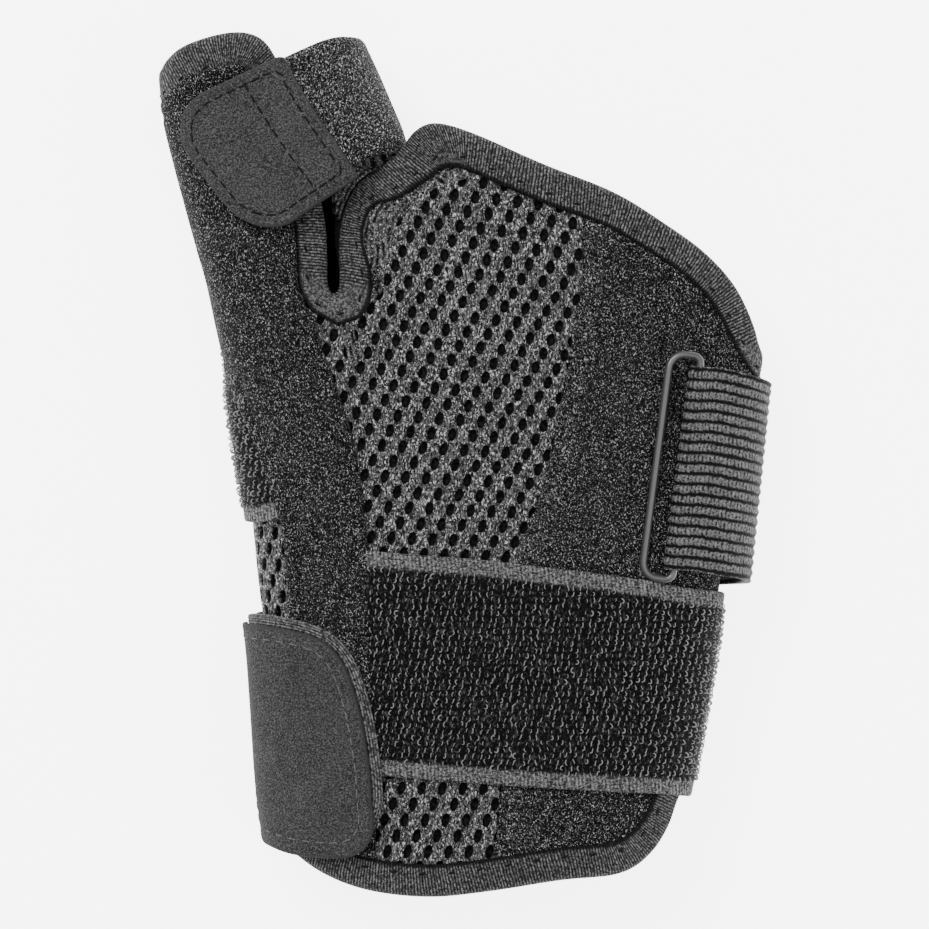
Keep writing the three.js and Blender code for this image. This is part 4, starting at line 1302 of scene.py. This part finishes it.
def capsule(length, radius, sides=6):
    rings = [(-length / 2, radius * 0.45), (-length / 2 + radius, radius), (length / 2 - radius, radius),
             (length / 2, radius * 0.45)]
    angles = [2 * math.pi * k / sides for k in range(sides)]
    points = [(x, r * math.cos(a), r * math.sin(a)) for x, r in rings for a in angles]
    faces = tubeFaces(len(rings), sides)
    faces += [list(range(sides))[::-1], [sides * (len(rings) - 1) + i for i in range(sides)]]
    return np.array(points) * mm, faces


def stitchPoints(skin, line, height, pitch, turn=0.0):
    line = evenly(line, pitch)
    ahead = np.gradient(line, axis=0)
    ahead /= np.linalg.norm(ahead, axis=1, keepdims=True) + 1e-9
    c, s = math.cos(turn), math.sin(turn)
    ahead = ahead @ np.array([[c, s], [-s, c]])
    p = skin.place(line, height)
    n = skin.sample(skin.n, line[:, 1], skin.columnAt(line[:, 1], line[:, 0]))
    return p, n, skin.place(line + 0.4 * ahead, height) - p


def stitches(name, node, runs, length, radius, material):
    p, n, a = (np.vstack(v) for v in zip(*runs))
    show(repeated(name, p, n, a, 1.0, capsule(length, radius), material), node)


def tapeStitches(name, node, path, reach):
    look = stitchLook
    line = path + (reach - path) * (look["edgeIn"] / tapeLook["width"])
    runs = [stitchPoints(sleeve, line, look["edgeHeight"], look["edgePitch"], look["turn"])]
    stitches(name, node, runs, look["edgeLength"], look["edgeRadius"], thread)


tapeStitches("opening_stitches", "opening_binding", *openTape)
tapeStitches("wrist_stitches", "wrist_binding", *wristTape)

# Ring: one bent wire, and the webbing folded round its right bar
ringLook = {"wire": 1.7, "length": 50.5, "width": 6.9, "bareCorner": 3.5, "heldCorner": 1.6, "lean": 7.5,
            "across": 0.8085, "along": 0.4995, "foldRadius": 2.8, "gap": 0.3}
lean = math.radians(ringLook["lean"])
barWay = np.array([math.sin(lean), math.cos(lean), 0])
outWay = np.array([math.cos(lean), -math.sin(lean), 0])


def restingBar(shift, lift):  # middle of a bar that rests on the sleeve's front
    middle = np.array([ringLook["across"] * size["width"], ringLook["along"] * size["length"], 0]) + shift * outWay
    power = size["crownExponent"]
    heights = []
    for side in (-1, 0, 1):
        q = middle + barWay * side * ringLook["length"] / 3
        along = q[1] / size["length"]
        left, right = (float(follow(handSections, k, along)) * size["width"] for k in (1, 2))
        low = size["backHeight"] - size["backFlat"]
        top = size["backHeight"] + float(follow(handSections, 3, along)) * size["sleeveDepth"]
        waist = low + size["crownShare"] * (top - low)
        share = min(abs(q[0] - (left + right) / 2) / ((right - left) / 2 + lift), 0.999)
        heights.append(waist + (top - waist + lift) * (1 - share**power) ** (1 / power))
    middle[2] = max(heights)
    return middle


bareBar = restingBar(0, ringLook["gap"] + ringLook["wire"] / 2)
heldBar = restingBar(ringLook["width"], ringLook["gap"] + ringLook["foldRadius"])


def wireRing():
    middle = (bareBar + heldBar) / 2
    out = heldBar - bareBar
    halfWidth = np.linalg.norm(out) / 2
    out /= np.linalg.norm(out)
    up = np.cross(out, barWay)
    halfLength = ringLook["length"] / 2
    path = []
    for side, end in ((1, 1), (-1, 1), (-1, -1), (1, -1)):
        radius = ringLook["heldCorner" if side > 0 else "bareCorner"]
        for i in range(13):
            a = math.pi / 2 * (i / 12 if side * end > 0 else 1 - i / 12)
            path.append(middle + out * side * (halfWidth - radius + radius * math.cos(a))
                        + barWay * end * (halfLength - radius + radius * math.sin(a)))
    path = evenly(np.vstack([path, path[:1]]), 0.8)[:-1]
    ahead = np.roll(path, -1, 0) - np.roll(path, 1, 0)
    side = np.cross(ahead / np.linalg.norm(ahead, axis=1, keepdims=True), up)
    sides, r = 16, ringLook["wire"] / 2
    points = np.stack([path + r * (math.cos(a) * side + math.sin(a) * up)
                       for a in np.linspace(0, 2 * math.pi, sides, endpoint=False)], 1)
    piece = makeMesh("wire_ring_bar", points.reshape(-1, 3), tubeFaces(len(path), sides, closed=True), wire)
    fixNormals(piece)
    show(piece, "wire_ring", "ring")


wireRing()

# Ring webbing: folded round the held bar, over the front, round the right side and sewn on the back
webLook = {"thickness": 2.4, "rise": 1.8, "width": 44, "rib": 2.25, "ribDepth": 0.4, "rows": 111, "along": 110,
           "joinAt": 0.627, "floorThickness": 1.6, "floorRise": 0.3, "bore": 0.25, "frontEnd": 128.0,
           "fold": ((0.367, 0.94), (0.59, 0.972)),  # along, across
           "front": [(0.86, 0.494, 1.08), (0.93, 0.487, 1.03), (1.1, 0.47, 1)],  # across, along, width
           "back": [(0.5, 0.515), (1.0, 0.4775)], "backWidth": 42, "sideAt": 0.47}


def foldEdge(along):
    (low, first), (high, last) = webLook["fold"]
    edge = first + (along - low) / (high - low) * (last - first)
    return max(edge, float(follow(handSections, 2, along))) * size["width"]


webSkin = Skin(useThumb=False, first=0.3, last=0.7, right=foldEdge)


def webbingRows():  # for each share of the width: the bar's place, and the row's columns and y
    plan = (size["width"], size["length"])
    frontX, frontY, frontWidth = (np.array(webLook["front"]) * [*plan, webLook["width"]]).T
    backX, backY = (np.array(webLook["back"]) * plan).T
    barHalf = (ringLook["length"] / 2 - ringLook["heldCorner"] - 0.4) * 0.985
    for v in np.linspace(-0.5, 0.5, webLook["rows"]):
        barX, barY = heldBar[:2] + barWay[:2] * v * 2 * barHalf
        x = np.arange(barX + 2.0, webLook["frontEnd"], 1.6)
        blend = np.clip((x - x[0]) / 8, 0, 1)
        front = barY * (1 - blend) + (np.interp(x, frontX, frontY) + v * np.interp(x, frontX, frontWidth)) * blend
        column = webSkin.frontColumn(x, front)
        side = np.arange(column[-1] + 3, webSkin.half + 60, 3.0)
        sideY = webLook["sideAt"] * size["length"] + v * webLook["width"]
        turned = front[-1] + (sideY - front[-1]) * np.minimum(1, (side - column[-1]) / 40)
        turnX = float(webSkin.at(turned[-1:], side[-1:])[0, 0])
        x = np.arange(turnX - 2, webLook["joinAt"] * size["width"], -3.0)
        behind = np.interp(x, backX, backY) + v * webLook["backWidth"]
        share = np.minimum(1, (turnX - x) / 15)
        behind = turned[-1] * (1 - share) + behind * share
        yield v, (barX, barY), (np.concatenate([column, side, webSkin.backColumn(x, behind)]),
                                np.concatenate([front, turned, behind]))


def makeWebbing():
    look = webLook
    outer, inner, uv = [], [], []
    for v, bar, row in webbingRows():
        share = np.linspace(0, len(row[0]) - 1, look["along"])
        cols, ys = (np.interp(share, np.arange(len(line)), line) for line in row)
        # near the floor the webbing lies closer and thinner
        bare = webSkin.at(ys, cols)[:, 2]
        ease = np.where(cols > webSkin.half, np.clip((12 - bare) / 9, 0, 1), 0)
        low = look["rise"] * (1 - ease) + look["floorRise"] * ease
        thick = look["thickness"] * (1 - ease) + look["floorThickness"] * ease
        ridge = look["ribDepth"] * (0.5 * math.cos(2 * math.pi * v * look["width"] / look["rib"]) - 0.5)
        top = webSkin.at(ys, cols, low + thick + ridge * (1 - 0.3 * ease))
        bottom = webSkin.at(ys, cols, low)
        # from under the front run, about the held bar, and on to the front run
        angles = np.linspace(-math.pi * 0.62, -math.pi * 1.5, 14)[:, None]
        about = np.cos(angles) * outWay + np.sin(angles) * np.array([0, 0, 1])
        centre = np.array([*bar, heldBar[2]])
        line = np.vstack([centre + (ringLook["foldRadius"] - 0.25 + ridge) * about, top])
        outer.append(line)
        inner.append(np.vstack([centre + (ringLook["wire"] / 2 + look["bore"]) * about, bottom]))
        d = np.concatenate([[0], np.cumsum(np.linalg.norm(np.diff(line, axis=0), axis=1))])
        uv.append(np.stack([d, np.full(len(d), v * look["width"])], 1))
    outer, inner, uv = np.array(outer), np.array(inner), np.array(uv)
    cuts["ring_webbing_band"] = (look["width"], float(uv[:, -1, 0].mean()), None)
    r, c = outer.shape[:2]
    n = r * c
    grid = np.arange(n).reshape(r, c)
    quads = np.stack([grid[:-1, :-1], grid[:-1, 1:], grid[1:, 1:], grid[1:, :-1]], -1).reshape(-1, 4)
    rim = [(b, a, a + n, b + n) for line in (grid[0, :], grid[:, -1], grid[-1, ::-1], grid[::-1, 0])
           for a, b in zip(line[:-1], line[1:])]
    piece = makeMesh("ring_webbing_band", np.vstack([outer.reshape(-1, 3), inner.reshape(-1, 3)]),
                     np.vstack([quads, quads[:, ::-1] + n, rim]), elastic, np.tile(uv.reshape(-1, 2), (2, 1)))
    fixNormals(piece)
    show(piece, "ring_webbing")


makeWebbing()
print("ring and webbing made")

# Thumb strap: padded, from behind the thumb tube round its right side and over its front
thumbLook = {"half": 13.75, "thickness": 2.2, "roll": 1.1, "startBack": 10, "backEnd": 0.1, "run": (0.495, 0.168),
             "tabAt": (0.26, 0.9), "clearFront": 2.9, "clearBack": 1.5}
thumbCore = [(row[0], (row[1] + row[2]) / 2) for row in thumbSections]
thumbSkin = Skin(useHand=False, front=thumbLook["clearFront"], back=thumbLook["clearBack"], first=0.62,
                 core=thumbCore)
planSize = np.array([size["width"], size["length"]])
thumbRun = np.array(thumbLook["run"]) * planSize
thumbRun /= np.linalg.norm(thumbRun)
acrossRun = np.array([-thumbRun[1], thumbRun[0]])

strapLine = over(thumbSkin, placed([(0.005, 0.8), (0.13, 0.8485), (0.266, 0.908), (0.365, 0.934), (0.5, 0.968)], 10))
thumbMiddle = np.vstack([onFront(thumbSkin, strapLine), onBack(thumbSkin, strapLine, fromRight=True)[::-1]])
thumbMiddle = thumbMiddle[np.argsort(thumbMiddle[:, 0])]
thumbReach, thumbY = thumbMiddle[:, 0], smoothed(thumbMiddle[:, 1], 30)
thumbSlope = np.gradient(thumbY, thumbReach)
tabMiddle = np.array(thumbLook["tabAt"]) * planSize
strapStart = tabMiddle - thumbLook["startBack"] * thumbRun


def frontReach(place):
    return float(thumbSkin.reach(place[1], thumbSkin.frontColumn(place[0], place[1])))


def thumbRule(s, y):
    across = (y - np.interp(s, thumbReach, thumbY)) / np.sqrt(1 + np.interp(s, thumbReach, thumbSlope) ** 2)
    half = thumbLook["half"] * np.interp(s, [0, 45, 62, 80, 160], [1, 1.02, 0.93, 0.9, 1])
    start = (s - frontReach(strapStart)) * thumbRun[0] + (y - strapStart[1]) * thumbRun[1]
    end = thumbSkin.reach(y, thumbSkin.backColumn(np.full_like(y, thumbLook["backEnd"] * size["width"]), y)) - s
    return np.minimum.reduce([half - np.abs(across), start, end])


show(clothPatch("thumb_strap_pad", thumbSkin, Field((10, 130), (190, 199), thumbRule), 0.0, thumbLook["thickness"],
                padVelour, step=1.2, inner=1.8, roll=thumbLook["roll"]), "thumb_strap")

# Thumb tab: felt, with two rounded corners at its free end
tabLook = {"length": 30, "width": 29.5, "corner": 11, "flare": 0.13, "low": 2.5, "high": 3.7, "stitchIn": 2.6,
           "seamAt": 10.5, "seamHalf": 11.6}
tabStart = np.array([frontReach(tabMiddle), tabMiddle[1]])


def tabRule(s, y):
    a = (s - tabStart[0]) * thumbRun[0] + (y - tabStart[1]) * thumbRun[1]
    b = (s - tabStart[0]) * acrossRun[0] + (y - tabStart[1]) * acrossRun[1]
    middle = -tabLook["length"] / 2
    dx = np.abs(a - middle) - tabLook["length"] / 2
    dy = np.abs(b) - tabLook["width"] / 2 - np.where(b < 0, np.clip(-a, 0, 40) * tabLook["flare"], 0)
    r = np.where(a < middle, tabLook["corner"], 0.6)
    qx, qy = dx + r, dy + r
    return -(np.hypot(np.maximum(qx, 0), np.maximum(qy, 0)) + np.minimum(np.maximum(qx, qy), 0) - r)


thumbTabField = Field((-20, 120), (60, 199), tabRule)
show(clothPatch("thumb_tab_felt", thumbSkin, thumbTabField, tabLook["low"], tabLook["high"], felt,
                step=1.0, inner=1.5, roll=0.6), "thumb_tab")


def stitchesInside(skin, field, inset, height):
    loops = [evenLoop(loop, 1.0, 1) for loop in levelLoops(field, inset)]
    return [stitchPoints(skin, np.vstack([line, line[:1]]), height + stitchLook["over"], stitchLook["tabPitch"])
            for line in loops]


halfSeam = np.linspace(-tabLook["seamHalf"], tabLook["seamHalf"], 20)[:, None] * acrossRun
middleSeam = tabStart - tabLook["seamAt"] * thumbRun + halfSeam
runs = stitchesInside(thumbSkin, thumbTabField, tabLook["stitchIn"], tabLook["high"])
runs.append(stitchPoints(thumbSkin, middleSeam, tabLook["high"] + stitchLook["over"], stitchLook["tabPitch"]))
stitches("thumb_tab_stitches", "thumb_tab", runs, stitchLook["feltLength"], stitchLook["feltRadius"],
         feltThread)
runs = stitchesInside(sleeve, feltField, wristTabLook["stitchIn"], wristTabLook["feltHigh"])
stitches("wrist_tab_stitches", "wrist_tab_felt", runs, stitchLook["dimLength"], stitchLook["dimRadius"],
         dimThread)
print("thumb strap and tabs made")

# Pile: many small loops standing on the wrist and palm straps
pileLook = {"column": 1.6, "row": 1.4, "height": 0.9, "wire": 0.145, "half": 0.46, "bend": 0.08, "seed": 7,
            "fromEdge": 0.6, "selvage": 3.0, "kept": 0.95, "scatter": 0.3, "tilt": 0.26, "base": 1.85,
            "lowest": 3.2, "leastUp": -0.25, "slant": 0.28, "sizes": (0.65, 1.25)}


def loopShape():
    look, sides, steps = pileLook, 3, 6
    points = []
    for a in [math.pi * k / steps for k in range(steps + 1)]:
        c, s = math.cos(a), math.sin(a)
        middle = np.array([look["half"] * c, look["bend"] * math.sin(2 * a), look["height"] * s * 0.9 - 0.1])
        for b in [2 * math.pi * i / sides for i in range(sides)]:
            points.append(middle + look["wire"] * np.array([math.cos(b) * c, math.sin(b), math.cos(b) * s]))
    return np.array(points) * mm, [(a, d, c, b) for a, b, c, d in tubeFaces(steps + 1, sides)]


def pileOn(name, node, field, selvage, rangeS, rangeY):
    look = pileLook
    rng = np.random.default_rng(look["seed"])
    pts = []
    for k, y in enumerate(np.arange(*rangeY, look["row"])):
        s = np.arange(*rangeS, look["column"]) + (k % 2) * look["column"] / 2 - 0.25 * y
        pts.append(np.stack([s, np.full_like(s, y)], 1))
    pts = np.vstack(pts)
    pts += rng.uniform(-look["scatter"], look["scatter"], pts.shape)
    good = (field(*pts.T) > look["fromEdge"]) & (selvage(*pts.T) > look["selvage"])
    pts = pts[good & (rng.random(len(pts)) < look["kept"])]
    p = sleeve.place(pts, look["base"])
    n = sleeve.sample(sleeve.n, pts[:, 1], sleeve.columnAt(pts[:, 1], pts[:, 0]))
    up = (p[:, 2] > look["lowest"]) & (n[:, 2] > look["leastUp"])  # none where the strap lies on the floor
    p, n = p[up], n[up]
    n = n + rng.normal(0, look["tilt"], n.shape)
    along = np.stack([rng.normal(look["slant"], look["slant"], len(p)), np.ones(len(p)), np.zeros(len(p))], 1)
    grow = rng.uniform(*look["sizes"], len(p))
    show(repeated(name, p, n, along, grow, loopShape(), loopThread), node)
    print(name, len(p), "loops")


pileOn("wrist_pile", "wrist_strap", wristField, wristSelvage, (25, 230), (14, 82))
pileOn("palm_pile", "palm_strap", palmField, palmSelvage, (-60, 40), (70, 132))

# What each cloth was cut to
def asSheet(name):
    width, length, area = cuts[name]
    width * mm
    length * mm
    None if area is None else area * mm * mm
    print(f"cut: {name} {width:.1f} x {length:.1f} mm", "" if area is None else f"area {area / 100:.1f} square cm")


asSheet("mesh_ground")
asSheet("velour_half")
asSheet("stay_velour")
asSheet("wrist_strap_band")
asSheet("wrist_tab_elastic")
asSheet("wrist_felt")
asSheet("palm_strap_band")
asSheet("opening_tape")
asSheet("wrist_tape")
asSheet("ring_webbing_band")
asSheet("thumb_tab_felt")
triangles = {}
for item in bpy.context.scene.objects:
    if item.type == "MESH" and "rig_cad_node" not in item:
        triangles[item.name] = sum(len(p.vertices) - 2 for p in item.data.polygons)
print("triangles:", sum(triangles.values()), triangles)

# Floor, light and camera
stageLook = {"floorHalf": 6.0, "glow": 5.0, "world": 0.65, "lens": 170, "sensor": 36, "pixels": 929, "pixelsPerMm": 4.4,
             "seenMiddle": (69.86, 97.39), "focusHeight": 0.018}
lamps = {  # place, width and power
    "key": ((-0.45, 0.55, 0.9), 0.6, 15),
    "fill": ((0.7, -0.2, 0.8), 0.9, 6.5),
    "top": ((0.0, 0.0, 1.5), 1.2, 9.5),
}


def floorFinish():
    f = Finish("pale_floor", roughness=0.9, specular=0.1)
    f.shader.inputs["Emission Color"].default_value = (1, 1, 1, 1)
    f.shader.inputs["Emission Strength"].default_value = stageLook["glow"]
    return f.done(f.colours(f.noise(f.place("Object"), 60, 2), [(0.3, (0.93, 0.93, 0.93)), (0.7, (0.95, 0.95, 0.95))]))


def makeFloor():
    r = stageLook["floorHalf"]
    floor = flatObject("floor", [(-r, -r, 0), (r, -r, 0), (r, r, 0), (-r, r, 0)], [(0, 1, 2, 3)])
    floor.data.materials.append(floorFinish())


def softLight(name, place, width, power):
    light = bpy.data.lights.new(name, "AREA")
    light.size, light.energy = width, power
    item = linked(name, light)
    item.location = place
    item.rotation_euler = (-Vector(place)).to_track_quat("-Z", "Y").to_euler()


def makeCamera():  # straight above the splint, at the photograph's scale
    data = bpy.data.cameras.new("camera")
    data.sensor_width, data.lens = stageLook["sensor"], stageLook["lens"]
    data.clip_start, data.clip_end = 0.05, 20
    height = stageLook["pixels"] / stageLook["pixelsPerMm"] * mm * data.lens / data.sensor_width
    camera = linked("camera", data)
    x, y = (np.array(stageLook["seenMiddle"]) - size["middle"]) * mm
    camera.location = (x, y, height + stageLook["focusHeight"])
    bpy.context.scene.camera = camera


makeFloor()
for name, (place, width, power) in lamps.items():
    softLight(name, place, width, power)
world = bpy.data.worlds.new("studio")
world.use_nodes = True
world.node_tree.nodes["Background"].inputs[0].default_value = (1, 1, 1, 1)
world.node_tree.nodes["Background"].inputs[1].default_value = stageLook["world"]
bpy.context.scene.world = world
makeCamera()
